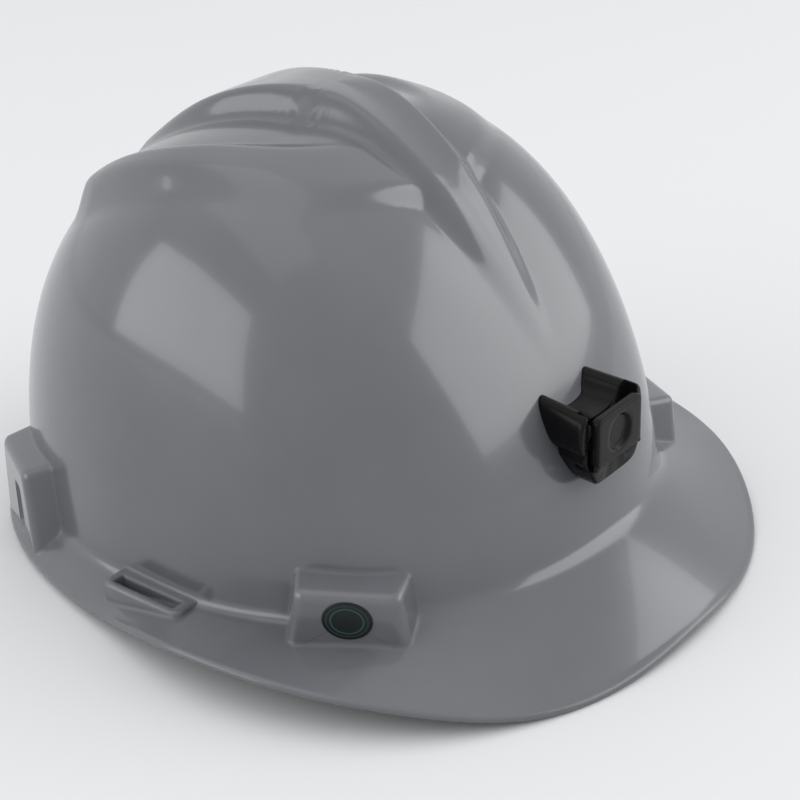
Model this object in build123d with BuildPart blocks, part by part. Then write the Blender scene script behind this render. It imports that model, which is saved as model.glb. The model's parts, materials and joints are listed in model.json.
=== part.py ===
from build123d import *
import math
import os

os.makedirs("parts", exist_ok=True)

# Miner's hard hat. Front is -Y, the wearer's left is +X, up is +Z.
# It stands on the lowest point of its brim; all lengths are in millimetres.

# Dome of the shell, a rounded form given by its half lengths in plan and its rise
DOME_HALF_WIDTH = 97.0
DOME_FRONT = 111.0
DOME_REAR = 126.5
DOME_FOOT_Z = 11.4
DOME_TOP_Z = 154.0
PLAN_EXPONENT = 2.3
PROFILE_EXPONENT = 2.4
PROFILE_EXPONENT_FRONT_SWING = 0.27
PROFILE_EXPONENT_SIDE_SWING = 0.45
SHELL_WALL = 2.4
DOME_SLICES = 21
DOME_SLICE_POINTS = 25
DOME_END_DEGREES = 86.0

# Line where the dome meets the brim
CREASE_Z = 17.4
CREASE_SIDE_SWING = 3.8
CREASE_FRONT_LIFT = 6.5

# Brim: peak in front, narrow flared rim at the sides and the rear
BRIM_STATION_DEGREES = (0, 25, 50, 75, 100, 130, 180)
PEAK_WIDTH = 33.5
REAR_RIM_WIDTH = 9.0
BRIM_WIDTHS = (PEAK_WIDTH, 33.5, 31.5, 25.0, 14.3, 10.5, REAR_RIM_WIDTH)
BRIM_EDGE_HEIGHTS = (5.0, 3.2, 13.5, 16.0, 7.0, 4.6, 4.0)
BRIM_WALL = 2.6
BRIM_BULGE_SHARE = 0.14
BRIM_STEP_DEGREES = 12.0
BRIM_ROOT = 5.0

# Raised crest on the crown: a narrow stem in front that opens into two arms and a middle ridge
CREST_LENGTH = 177.0
CREST_FRONT_Y = -97.0
CREST_HALF_WIDTH = 64.0
CREST_HEIGHT = 10.5
CREST_FLANK = 8.0
CREST_OUTER_ALONG_shares = (0.0, 0.05, 0.11, 0.18, 0.24, 0.28, 0.31, 0.36, 0.44, 0.6, 0.72, 0.89, 1.0)
CREST_OUTER_shares = (0.05, 0.07, 0.13, 0.18, 0.21, 0.26, 0.5, 0.75, 0.89, 0.97, 1.0, 0.95, 0.86)
CREST_INNER_ALONG_shares = (0.0, 0.38, 0.42, 0.48, 0.54, 0.62, 0.75, 1.0)
CREST_INNER_shares = (0.15, 0.2, 0.4, 0.55, 0.63, 0.7, 0.77, 0.78)
RIDGE_ALONG_shares = (0.0, 0.05, 0.11, 0.24, 0.38, 0.5, 0.65, 0.8, 1.0)
RIDGE_WIDTH_shares = (0.06, 0.09, 0.14, 0.22, 0.26, 0.27, 0.3, 0.36, 0.4)
RIDGE_HEIGHT_shares = (0.0, 0.3, 0.48, 0.72, 0.94, 0.98, 0.95, 0.75, 0.25)
ARM_ALONG_shares = (0.0, 0.24, 0.3, 0.38, 0.5, 0.8, 1.0)
ARM_HEIGHT_shares = (0.0, 0.42, 0.46, 0.42, 0.45, 0.68, 0.75)
GROOVE_TIP_share = 0.38
GROOVE_FULL_share = 0.56

# Four bosses around the dome that take the keys of the suspension
LUG_ANGLE_FRONT = 50.5
LUG_ANGLE_REAR = 135.0
LUG_TOP_WIDTH_BACK = 35.5
LUG_TOP_WIDTH_FRONT = 28.5
LUG_FOOT_WIDTH_BACK = 46.0
LUG_FOOT_WIDTH_FRONT = 39.0
LUG_REACH_FRONT = 10.0
LUG_REACH_REAR = 8.8
LUG_TOP_Z_FRONT = 39.0
LUG_TOP_Z_REAR = 38.0
LUG_TOP_DROP = 2.2
LUG_WALL = 2.6
LUG_EDGE_RADIUS = 2.2
LUG_ROOT = 8.0
SOCKET_WIDTH = 24.6
SOCKET_DEPTH = 4.6
SOCKET_HEADROOM = 4.0

# Accessory slot on each side of the brim
SLOT_SETBACK = 3.6
SLOT_BLOCK_LENGTH = 35.0
SLOT_BLOCK_REACH = 10.5
SLOT_BLOCK_RISE = 2.6
SLOT_LENGTH = 28.0
SLOT_GAP = 4.4
SLOT_OUTER_WALL = 2.4
SLOT_CORNER_RADIUS = 3.0

# Plain round label on the front right boss
LABEL_RADIUS = 9.2
LABEL_THICKNESS = 0.7

# Lamp bracket on the front of the dome
BRACKET_PLATE_REACH = 113.5
BRACKET_PLATE_WIDTH = 28.5
BRACKET_PLATE_HEIGHT = 18.5
BRACKET_PLATE_THICKNESS = 2.8
BRACKET_FOOT_Z = 49.0
BRACKET_CHIN_HEIGHT = 8.0
BRACKET_CHIN_ROUND = 5.0
BRACKET_TOP_Z = 80.0
BRACKET_TOP_DROP = 3.5
BRACKET_SADDLE_DROP = 5.0
BRACKET_ROOT = 12.0
BRACKET_EAR_SETBACK = 3.0
BRACKET_SLOT_DEPTH = 5.0
BRACKET_HALF_WIDTH = 18.5
BRACKET_FLARE = 2.5
BRACKET_EAR_WALL = 3.6
BRACKET_RECESS_RADIUS = 8.3
BRACKET_RECESS_DEPTH = 1.4
BRACKET_EDGE_RADIUS = 1.4
BRACKET_NECK_WIDTH = 18.0
BRACKET_NECK_HEIGHT = 5.0
SEAT_GAP = 0.3
RIVET_RADIUS = 1.95
RIVET_HOLE_RADIUS = 2.0
RIVET_HEAD_RADIUS = 3.6
RIVET_HEAD_HEIGHT = 1.1
BRACKET_RIVET_SPACING = 17.0
BRACKET_RIVET_Z = 66.0
BACKING_WIDTH = 34.0
BACKING_HEIGHT = 13.0
BACKING_THICKNESS = 1.6

# Cable clip on the rear of the dome
CLIP_Z = 62.0
CLIP_WIDTH = 16.0
CLIP_HEIGHT = 24.0
CLIP_BASE = 2.0
CLIP_LOOP_INNER_RADIUS = 4.0
CLIP_LOOP_WALL = 2.2
CLIP_MOUTH = 5.0
CLIP_RIVET_OFFSET = 7.0
CLIP_ROOT = 12.0
CLIP_CORNER_RADIUS = 3.0
CLIP_LOOP_WIDTH = 9.0

# Head band: half an ellipse in front and an arc about the band axis behind
BAND_AXIS_OFFSET = 17.0
BAND_RADIUS = 79.0
BAND_FRONT_LENGTH = 116.0
BAND_THICKNESS = 1.6
BAND_FOOT_Z = 6.0
BAND_HEIGHT = 32.0
BAND_END_ANGLE = 40.0
SLEEVE_START_ANGLE = 42.5
SLEEVE_ANGLE = 5.0
SLEEVE_WALL = 1.2
RUN_GAP = 0.3

# Size straps with their racks, and the ratchet that draws them together
RACK_Z = 20.0
RACK_HEIGHT = 20.4
RACK_THICKNESS = 1.2
RACK_TIP_ANGLE = 24.0
RACK_REAR_ANGLE = 63.0
RACK_SLOT_ANGLE = 20.5
PINION_TEETH = 10
PINION_PITCH_RADIUS = 6.4
TOOTH_ADDENDUM = 1.1
TOOTH_DEDENDUM = 1.4
TOOTH_BACKLASH = 0.55
PRESSURE_ANGLE = 20.0
RACK_SPACES_EACH_WAY = 6
HOUSING_ANGLE = 24.0
HOUSING_WALL = 1.8
HOUSING_CAP = 3.4
BOSS_RISE = 0.8
SCREW_ANGLE = 20.5
SCREW_RADIUS = 0.9
SCREW_LENGTH = 5.0
SCREW_HEAD_RADIUS = 1.6
SCREW_HEAD_HEIGHT = 0.8
SHAFT_RADIUS = 4.0
SHAFT_CLEARANCE = 0.06
PIVOT_RADIUS = 2.2
KNOB_RADIUS = 17.6
KNOB_THICKNESS = 12.0
KNOB_GRIPS = 16
KNOB_GRIP_RADIUS = 1.5
KNOB_EDGE_RADIUS = 1.0
KNOB_BORE_DEPTH = 5.0
PAWL_INNER_RADIUS = 8.0
PAWL_WIDTH = 3.0
DETENT_OUTER_RADIUS = 15.0
DETENT_INNER_RADIUS = 11.0
DETENT_THICKNESS = 1.6
DETENT_NOTCHES = 24
DETENT_NOTCH_RADIUS = 0.7

# Suspension keys, crown straps and pads
KEY_WIDTH = 24.0
KEY_TONGUE = 3.9
KEY_BRIDGE = 2.8
KEY_PLATE = 2.6
KEY_TOP_Z = 48.0
KEY_ARM_WIDTH = 8.0
KEY_ARM_HEIGHT = 3.2
KEY_ARM_Z = 34.4
KEY_WALL_GAP = 1.7
KEY_BRIDGE_GAP = 1.0
KEY_TIP_GAP = 0.6
PIN_RADIUS = 1.9
PIN_HOLE_RADIUS = 2.2
PIN_CAP_RADIUS = 3.1
PIN_CAP_HEIGHT = 1.0
ARM_BAND_GAP = 1.3
CAP_BAND_GAP = 1.3
STRAP_WIDTH = 18.0
STRAP_THICKNESS = 1.3
STRAP_FOOT_Z = 37.5
STRAP_SPRING_Z = 48.5
STRAP_CROWN_Z = 118.0
STRAP_KEY_GAP = 2.9
STRAP_CROSSING_GAP = 0.8
BROW_PAD_ANGLE = 36.5
BROW_PAD_THICKNESS = 4.2
BROW_PAD_HEIGHT = 30.0
BROW_PAD_EDGE_RADIUS = 1.6
NAPE_PAD_THICKNESS = 4.0
NAPE_PAD_HEIGHT = 20.0
NAPE_PAD_ANGLE = 19.0
NAPE_PAD_EDGE_RADIUS = 1.5

# The plan's middle is set so that the whole outline is centred on the origin
PLAN_Y = (DOME_FRONT + PEAK_WIDTH - DOME_REAR - REAR_RIM_WIDTH) / 2
OVERRUN = 10.0
DIFFERENCE_STEP = 0.02
DOME_RISE = DOME_TOP_Z - DOME_FOOT_Z
QUARTER = math.pi / 2


def between(places, values, place):
    """Smooth interpolation of values given at places, with level ends."""
    if place <= places[0]:
        return values[0]
    last = len(places) - 1
    if place >= places[last]:
        return values[last]
    k = 0
    while places[k + 1] < place:
        k = k + 1
    gap = places[k + 1] - places[k]
    before = k - 1 if k > 0 else k
    after = k + 2 if k + 2 <= last else k + 1
    slope_a = 0.0
    slope_b = 0.0
    if k > 0:
        slope_a = (values[k + 1] - values[before]) / (places[k + 1] - places[before])
    if k + 2 <= last:
        slope_b = (values[after] - values[k]) / (places[after] - places[k])
    t = (place - places[k]) / gap
    rise = values[k + 1] - values[k]
    cubic = rise * (3 - 2 * t) * t * t
    bend = gap * t * (1 - t) * (slope_a * (1 - t) - slope_b * t)
    return values[k] + cubic + bend


def ramp(value):
    """0 below zero, 1 above one, and a smooth rise between."""
    t = min(max(value, 0.0), 1.0)
    return t * t * (3 - 2 * t)


def plan_radius(angle):
    """Radius of the dome's foot in plan; the angle is zero in front and grows to the left."""
    length = DOME_FRONT if math.cos(angle) > 0 else DOME_REAR
    across = abs(math.sin(angle) / DOME_HALF_WIDTH) ** PLAN_EXPONENT
    along = abs(math.cos(angle) / length) ** PLAN_EXPONENT
    return (across + along) ** (-1 / PLAN_EXPONENT)


def profile_exponent(angle):
    front = PROFILE_EXPONENT_FRONT_SWING * math.cos(angle)
    side = PROFILE_EXPONENT_SIDE_SWING * math.cos(2 * angle)
    return PROFILE_EXPONENT - front - side


def dome_radius(angle, z):
    """Plan radius of the plain dome at a height."""
    m = profile_exponent(angle)
    level = min(max((z - DOME_FOOT_Z) / DOME_RISE, 0.0), 1.0)
    return plan_radius(angle) * (1 - level ** m) ** (1 / m)


def crease_z(angle):
    side = CREASE_SIDE_SWING * math.cos(2 * angle)
    return CREASE_Z + side + CREASE_FRONT_LIFT * math.cos(angle)


def crease_radius(angle):
    return dome_radius(angle, crease_z(angle))


def around(values, angle):
    degrees = abs(math.degrees(angle))
    if degrees > 180:
        degrees = 360 - degrees
    return between(BRIM_STATION_DEGREES, values, degrees)


def brim_z(angle, share):
    """Height of the brim's upper face at a share of its width, carried on past both ends."""
    high = crease_z(angle)
    low = around(BRIM_EDGE_HEIGHTS, angle)
    inside = min(max(share, 0.0), 1.0)
    return high + (low - high) * (share - BRIM_BULGE_SHARE * inside * (1 - inside))


def brim_drop(angle):
    """Vertical thickness of the brim, which grows where the rim is steep."""
    width = around(BRIM_WIDTHS, angle)
    fall = crease_z(angle) - around(BRIM_EDGE_HEIGHTS, angle)
    return BRIM_WALL * math.hypot(width, fall) / width


def crest_height(x, y):
    """Height of the crest over the plain dome at a place in plan."""
    along = (y - CREST_FRONT_Y) / CREST_LENGTH
    side = abs(x)
    outer = between(CREST_OUTER_ALONG_shares, CREST_OUTER_shares, along) * CREST_HALF_WIDTH
    inner = between(CREST_INNER_ALONG_shares, CREST_INNER_shares, along) * CREST_HALF_WIDTH
    ridge = between(RIDGE_ALONG_shares, RIDGE_WIDTH_shares, along) * CREST_HALF_WIDTH
    arm_top = between(ARM_ALONG_shares, ARM_HEIGHT_shares, along) * CREST_HEIGHT
    ridge_top = between(RIDGE_ALONG_shares, RIDGE_HEIGHT_shares, along) * CREST_HEIGHT
    ends = ramp(along * CREST_LENGTH / CREST_FLANK) * ramp((1 - along) * CREST_LENGTH / CREST_FLANK)
    platform = arm_top * ramp((outer - side) / CREST_FLANK)
    depth = ramp((along - GROOVE_TIP_share) / (GROOVE_FULL_share - GROOVE_TIP_share))
    groove = depth * ramp((inner - side) / CREST_FLANK)
    platform = platform * (1 - groove)
    middle = ridge_top * ramp((ridge - side) / min(CREST_FLANK, ridge))
    high = max(platform, middle)
    low = min(platform, middle)
    blend = math.hypot(high, low)
    soft = high + (blend - high) * low / (high + 1)
    return soft * ends


def dome_slices(wall, bottom_z):
    """Slices of the dome square to its length, drawn in by a wall."""
    slices = []
    rise = DOME_RISE - wall
    for j in range(DOME_SLICES):
        turn = math.radians(DOME_END_DEGREES) * (2 * j / (DOME_SLICES - 1) - 1)
        length = DOME_FRONT if turn < 0 else DOME_REAR
        y = math.sin(turn) * (length - wall)
        across = (1 - abs(math.sin(turn)) ** PLAN_EXPONENT) ** (1 / PLAN_EXPONENT)
        half = (DOME_HALF_WIDTH - wall) * across
        points = []
        for i in range(DOME_SLICE_POINTS):
            x = half * math.sin(QUARTER * (2 * i / (DOME_SLICE_POINTS - 1) - 1))
            angle = math.atan2(x, -y)
            share = min(math.hypot(x, y) / (plan_radius(angle) - wall), 1.0)
            m = profile_exponent(angle)
            z = DOME_FOOT_Z + rise * (1 - share ** m) ** (1 / m) + crest_height(x, y)
            points.append((x, z))
        points[0] = (-half, DOME_FOOT_Z)
        points[-1] = (half, DOME_FOOT_Z)
        with BuildSketch(Plane(origin=(0, PLAN_Y + y, 0), x_dir=(1, 0, 0), z_dir=(0, -1, 0))) as cut:
            with BuildLine():
                Spline(*points)
                Polyline(points[-1], (half, bottom_z), (-half, bottom_z), points[0])
            make_face()
        slices.append(cut.sketch)
    return slices


def wall_heading(degrees):
    """Direction square to the dome's foot at a place: sine and cosine of its own angle."""
    angle = math.radians(degrees)
    length = DOME_FRONT if math.cos(angle) > 0 else DOME_REAR
    x = math.sin(angle) / DOME_HALF_WIDTH
    y = math.cos(angle) / length
    across = math.copysign(abs(x) ** (PLAN_EXPONENT - 1), x) / DOME_HALF_WIDTH
    along = math.copysign(abs(y) ** (PLAN_EXPONENT - 1), y) / length
    size = math.hypot(across, along)
    return across / size, along / size


def wall_point(degrees, reach):
    """Place in plan on the line square to the wall: reach is counted outward from the crease."""
    angle = math.radians(degrees)
    across, along = wall_heading(degrees)
    x = crease_radius(angle) * math.sin(angle) + reach * across
    y = -crease_radius(angle) * math.cos(angle) - reach * along
    return x, y


def side_plane(degrees):
    """Upright plane square to the wall: x runs outward from the crease, y runs up."""
    across, along = wall_heading(degrees)
    x, y = wall_point(degrees, 0)
    out = Vector(across, -along, 0)
    return Plane(origin=(x, PLAN_Y + y, 0), x_dir=out, z_dir=out.cross(Vector(0, 0, 1)))


def boss_plane(degrees, reach, z):
    """Upright plane along the wall at a reach from the crease: x runs round the dome, y runs up."""
    across, along = wall_heading(degrees)
    x, y = wall_point(degrees, reach)
    out = Vector(across, -along, 0)
    return Plane(origin=(x, PLAN_Y + y, z), x_dir=Vector(0, 0, 1).cross(out), z_dir=out)


def find_reach(degrees, is_inside):
    """Reach at which the line square to the wall leaves a form, by halving."""
    near = -DOME_HALF_WIDTH / 2
    far = DOME_HALF_WIDTH / 2
    while far - near > DIFFERENCE_STEP:
        middle = (near + far) / 2
        x, y = wall_point(degrees, middle)
        if is_inside(x, y):
            near = middle
        else:
            far = middle
    return near


def wall_reach(degrees, z):
    """Reach of the plain dome's outer face at a height."""
    return find_reach(degrees, lambda x, y: math.hypot(x, y) < dome_radius(math.atan2(x, -y), z))


def radial_plane(degrees, z):
    """Plane through the dome's middle that holds a radius: x runs outward, y runs up."""
    angle = math.radians(degrees)
    out = Vector(math.sin(angle), -math.cos(angle), 0)
    return Plane(origin=(0, PLAN_Y, z), x_dir=out, z_dir=out.cross(Vector(0, 0, 1)))


# Solid inside the dome's outer face, and the smaller one inside its inner face
with BuildPart() as dome_outside:
    loft(sections=dome_slices(0, DOME_FOOT_Z - OVERRUN))

with BuildPart() as dome_inside:
    loft(sections=dome_slices(SHELL_WALL, -OVERRUN))
print("dome solids", round(dome_outside.part.volume), round(dome_inside.part.volume))


def brim_section(degrees, top_face):
    """Section of the brim in a radial plane, or of the space under the brim's middle."""
    angle = math.radians(degrees)
    start = crease_radius(angle)
    width = around(BRIM_WIDTHS, angle)
    drop = brim_drop(angle)
    root = -BRIM_ROOT / width
    if not top_face:
        drop = drop / 2
    top = []
    low = []
    for share in (root, 0.0, 0.25, 0.5, 0.75, 1.0):
        top.append((start + share * width, brim_z(angle, share)))
        low.append((start + share * width, brim_z(angle, share) - drop))
    low.reverse()
    nose = (start + width + BRIM_WALL / 2, (top[-1][1] + low[0][1]) / 2)
    with BuildSketch(radial_plane(degrees, 0)) as cut:
        with BuildLine():
            if top_face:
                Spline(*top)
                ThreePointArc(top[-1], nose, low[0])
                Spline(*low)
                Line(low[-1], top[0])
            else:
                far = start + width + OVERRUN
                deep = -2 * OVERRUN
                near = (start - LUG_ROOT - OVERRUN, low[-1][1])
                Line(near, low[-1])
                Spline(*reversed(low))
                Polyline(low[0], (far, low[0][1]), (far, deep), (near[0], deep), near)
        make_face()
    return cut.sketch


brim_steps = round(180 / BRIM_STEP_DEGREES)
with BuildPart() as brim_ring:
    loft(sections=[brim_section(step * BRIM_STEP_DEGREES, True) for step in range(brim_steps + 1)])
    mirror(about=Plane.YZ)
with BuildPart() as under_brim:
    loft(sections=[brim_section(step * BRIM_STEP_DEGREES, False) for step in range(brim_steps + 1)])
    mirror(about=Plane.YZ)
print("brim", brim_ring.part.is_valid, round(brim_ring.part.volume), under_brim.part.is_valid)

lug_angles = (-LUG_ANGLE_FRONT, LUG_ANGLE_FRONT, -LUG_ANGLE_REAR, LUG_ANGLE_REAR)


def lug_reach(degrees):
    return LUG_REACH_FRONT if abs(degrees) < 90 else LUG_REACH_REAR


def lug_top(degrees):
    return LUG_TOP_Z_FRONT if abs(degrees) < 90 else LUG_TOP_Z_REAR


with BuildPart() as lugs:
    for degrees in lug_angles:
        top = lug_top(degrees)
        with BuildSketch(boss_plane(degrees, -LUG_ROOT, 0)) as back_outline:
            with BuildLine():
                Polyline(
                    (-LUG_FOOT_WIDTH_BACK / 2, 0),
                    (LUG_FOOT_WIDTH_BACK / 2, 0),
                    (LUG_TOP_WIDTH_BACK / 2, top),
                    (-LUG_TOP_WIDTH_BACK / 2, top),
                    close=True,
                )
            make_face()
        with BuildSketch(boss_plane(degrees, lug_reach(degrees), 0)) as front_outline:
            with BuildLine():
                Polyline(
                    (-LUG_FOOT_WIDTH_FRONT / 2, 0),
                    (LUG_FOOT_WIDTH_FRONT / 2, 0),
                    (LUG_TOP_WIDTH_FRONT / 2, top - LUG_TOP_DROP),
                    (-LUG_TOP_WIDTH_FRONT / 2, top - LUG_TOP_DROP),
                    close=True,
                )
            make_face()
        loft(sections=[back_outline.sketch, front_outline.sketch], ruled=True)
    lug_fronts = lugs.edges().filter_by(lambda e: e.length > LUG_TOP_WIDTH_FRONT / 2)
    lug_fronts = lug_fronts.filter_by(lambda e: e.bounding_box().max.Z > LUG_TOP_DROP)
    fillet(lug_fronts, radius=LUG_EDGE_RADIUS)

slot_crease = crease_radius(QUARTER)
slot_top_z = crease_z(QUARTER) + SLOT_BLOCK_RISE
slot_middle = slot_crease + SLOT_BLOCK_REACH - SLOT_OUTER_WALL - SLOT_GAP / 2

with BuildPart() as slot_blocks:
    for side in (-1, 1):
        with BuildSketch(Plane.XY):
            slot_block_x = side * (slot_crease + SLOT_BLOCK_REACH / 2 - LUG_ROOT / 2)
            with Locations((slot_block_x, PLAN_Y + SLOT_SETBACK)):
                Rectangle(SLOT_BLOCK_REACH + LUG_ROOT, SLOT_BLOCK_LENGTH)
        extrude(amount=slot_top_z)
    fillet(slot_blocks.edges().filter_by(Axis.Z), radius=SLOT_CORNER_RADIUS)

# The shell joins dome, brim, bosses and slot blocks; what stands inside the dome is cut away last
with BuildPart() as bosses:
    add(lugs.part)
    add(slot_blocks.part)
    add(under_brim.part, mode=Mode.SUBTRACT)
with BuildPart() as shell:
    add(dome_outside.part)
    add(under_brim.part, mode=Mode.SUBTRACT)
    add(brim_ring.part)
    add(bosses.part)
    add(dome_inside.part, mode=Mode.SUBTRACT)
    for degrees in lug_angles:
        with BuildSketch(boss_plane(degrees, lug_reach(degrees) - LUG_WALL - SOCKET_DEPTH, 0)):
            with Locations((0, (lug_top(degrees) - SOCKET_HEADROOM) / 2)):
                Rectangle(SOCKET_WIDTH, lug_top(degrees) - SOCKET_HEADROOM)
        extrude(amount=SOCKET_DEPTH, mode=Mode.SUBTRACT)
    for side in (-1, 1):
        with BuildSketch(Plane.XY.offset(-OVERRUN)):
            with Locations((side * slot_middle, PLAN_Y + SLOT_SETBACK)):
                Rectangle(SLOT_GAP, SLOT_LENGTH)
        extrude(amount=slot_top_z + 2 * OVERRUN, mode=Mode.SUBTRACT)
    for x in (-BRACKET_RIVET_SPACING / 2, BRACKET_RIVET_SPACING / 2):
        with BuildSketch(Plane(origin=(x, 0, BRACKET_RIVET_Z), x_dir=(1, 0, 0), z_dir=(0, -1, 0))):
            Circle(RIVET_HOLE_RADIUS)
        extrude(amount=DOME_FRONT + PEAK_WIDTH, mode=Mode.SUBTRACT)
    with BuildSketch(Plane(origin=(0, 0, CLIP_Z - CLIP_RIVET_OFFSET), x_dir=(-1, 0, 0), z_dir=(0, 1, 0))):
        Circle(RIVET_HOLE_RADIUS)
    extrude(amount=DOME_REAR + PEAK_WIDTH, mode=Mode.SUBTRACT)
print("shell", shell.part.is_valid, len(shell.part.solids()), round(shell.part.volume))
shell.part.label = "shell"
export_step(shell.part, "parts/shell.step")


def finish(builder, name):
    """Prints what was made and writes it as one piece."""
    piece = builder.part
    piece.label = name
    box = piece.bounding_box()
    low = (round(box.min.X, 1), round(box.min.Y, 1), round(box.min.Z, 1))
    high = (round(box.max.X, 1), round(box.max.Y, 1), round(box.max.Z, 1))
    print(name, piece.is_valid, len(piece.solids()), round(piece.volume), low, high)
    export_step(piece, "parts/" + name + ".step")


# Lamp bracket: a saddle on the dome with two ears, a chin and a square plate in front of a slot
plate_front = PLAN_Y - BRACKET_PLATE_REACH
plate_back = plate_front + BRACKET_PLATE_THICKNESS
slot_back = plate_back + BRACKET_SLOT_DEPTH
plate_foot_z = BRACKET_FOOT_Z + BRACKET_CHIN_HEIGHT
ear_front = plate_front + BRACKET_EAR_SETBACK
ear_inner = BRACKET_HALF_WIDTH - BRACKET_EAR_WALL
ear_root = PLAN_Y - dome_radius(0, BRACKET_TOP_Z) + BRACKET_ROOT
ear_depth = ear_root - ear_front
bracket_bottom = Plane.XY.offset(BRACKET_FOOT_Z)
with BuildPart() as bracket_block:
    with BuildSketch(Plane.YZ.offset(-BRACKET_HALF_WIDTH)):
        with BuildLine():
            Polyline(
                (ear_root, BRACKET_FOOT_Z),
                (ear_front + BRACKET_CHIN_ROUND, BRACKET_FOOT_Z),
                (ear_front, BRACKET_FOOT_Z + BRACKET_CHIN_ROUND),
                (ear_front, BRACKET_TOP_Z - BRACKET_TOP_DROP),
                (ear_root, BRACKET_TOP_Z),
                close=True,
            )
        make_face()
    extrude(amount=2 * BRACKET_HALF_WIDTH)
    # The ears' sides are drawn in at the root and swell towards the middle of their height
    for side in (-1, 1):
        with BuildSketch(bracket_bottom):
            with BuildLine():
                Polyline(
                    (side * BRACKET_HALF_WIDTH, ear_front),
                    (side * (BRACKET_HALF_WIDTH + OVERRUN), ear_front),
                    (side * (BRACKET_HALF_WIDTH + OVERRUN), ear_root),
                    (side * (BRACKET_HALF_WIDTH - BRACKET_FLARE), ear_root),
                    close=True,
                )
            make_face()
        extrude(amount=BRACKET_TOP_Z, mode=Mode.SUBTRACT)
    # Dip of the saddle between the ears, and the slot for the lamp's blade
    with BuildSketch(Plane.XZ.offset(-ear_root)):
        with Locations((0, BRACKET_TOP_Z)):
            Rectangle(2 * ear_inner, 2 * BRACKET_SADDLE_DROP)
    extrude(amount=ear_depth, mode=Mode.SUBTRACT)
    with BuildSketch(Plane.XY.offset(plate_foot_z)):
        with Locations((0, (slot_back + ear_front) / 2)):
            Rectangle(2 * ear_inner, slot_back - ear_front)
    extrude(amount=BRACKET_TOP_Z, mode=Mode.SUBTRACT)
    upright = bracket_block.edges().filter_by(Axis.Z)
    upright = upright.filter_by(lambda e: e.center().Y < ear_front + BRACKET_EDGE_RADIUS)
    fillet(upright.filter_by(lambda e: abs(e.center().X) > ear_inner), radius=BRACKET_EDGE_RADIUS)
with BuildPart() as lamp_bracket:
    add(bracket_block.part)
    with BuildSketch(Plane.XZ.offset(-plate_back)):
        with Locations((0, plate_foot_z + BRACKET_PLATE_HEIGHT / 2)):
            Rectangle(BRACKET_PLATE_WIDTH, BRACKET_PLATE_HEIGHT)
    extrude(amount=BRACKET_PLATE_THICKNESS)
    with BuildSketch(Plane.XZ.offset(-slot_back)):
        with Locations((0, plate_foot_z)):
            Rectangle(BRACKET_NECK_WIDTH, BRACKET_NECK_HEIGHT)
    extrude(amount=slot_back - plate_back)
    with BuildSketch(Plane.XZ.offset(-plate_front - BRACKET_RECESS_DEPTH)):
        with Locations((0, plate_foot_z + BRACKET_PLATE_HEIGHT / 2)):
            Circle(BRACKET_RECESS_RADIUS)
    extrude(amount=BRACKET_RECESS_DEPTH, mode=Mode.SUBTRACT)
    add(Pos(0, -SEAT_GAP, 0) * dome_outside.part, mode=Mode.SUBTRACT)
    for x in (-BRACKET_RIVET_SPACING / 2, BRACKET_RIVET_SPACING / 2):
        with BuildSketch(Plane(origin=(x, plate_back, BRACKET_RIVET_Z), x_dir=(-1, 0, 0), z_dir=(0, 1, 0))):
            Circle(RIVET_HOLE_RADIUS)
        extrude(amount=DOME_FRONT, mode=Mode.SUBTRACT)
        with BuildSketch(Plane(origin=(x, plate_back, BRACKET_RIVET_Z), x_dir=(-1, 0, 0), z_dir=(0, 1, 0))):
            Circle(RIVET_HEAD_RADIUS + SHAFT_CLEARANCE)
        extrude(amount=BRACKET_SLOT_DEPTH + RIVET_HEAD_HEIGHT, mode=Mode.SUBTRACT)
finish(lamp_bracket, "lamp_bracket")

# Plate inside the dome that backs the bracket, its outer face curved like the wall
with BuildPart() as bracket_backing_plate:
    with BuildSketch(Plane(origin=(0, 0, BRACKET_RIVET_Z), x_dir=(1, 0, 0), z_dir=(0, -1, 0))):
        Rectangle(BACKING_WIDTH, BACKING_HEIGHT)
    extrude(amount=DOME_FRONT + PEAK_WIDTH)
    add(Pos(0, SEAT_GAP, 0) * dome_inside.part, mode=Mode.INTERSECT)
    add(Pos(0, SEAT_GAP + BACKING_THICKNESS, 0) * dome_inside.part, mode=Mode.SUBTRACT)
    for x in (-BRACKET_RIVET_SPACING / 2, BRACKET_RIVET_SPACING / 2):
        with BuildSketch(Plane(origin=(x, 0, BRACKET_RIVET_Z), x_dir=(1, 0, 0), z_dir=(0, -1, 0))):
            Circle(RIVET_HOLE_RADIUS)
        extrude(amount=DOME_FRONT + PEAK_WIDTH, mode=Mode.SUBTRACT)
finish(bracket_backing_plate, "bracket_backing_plate")
backing_box = bracket_backing_plate.part.bounding_box()

with BuildPart() as bracket_rivets:
    for x in (-BRACKET_RIVET_SPACING / 2, BRACKET_RIVET_SPACING / 2):
        rivet_end = (x, backing_box.max.Y, BRACKET_RIVET_Z)
        with BuildSketch(Plane(origin=rivet_end, x_dir=(1, 0, 0), z_dir=(0, -1, 0))):
            Circle(RIVET_RADIUS)
        extrude(amount=backing_box.max.Y - slot_back)
        with BuildSketch(Plane(origin=rivet_end, x_dir=(-1, 0, 0), z_dir=(0, 1, 0))):
            Circle(RIVET_HEAD_RADIUS)
        extrude(amount=RIVET_HEAD_HEIGHT)
        with BuildSketch(Plane(origin=(x, slot_back, BRACKET_RIVET_Z), x_dir=(-1, 0, 0), z_dir=(0, 1, 0))):
            Circle(RIVET_HEAD_RADIUS)
        extrude(amount=RIVET_HEAD_HEIGHT)
finish(bracket_rivets, "bracket_rivets")

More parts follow.
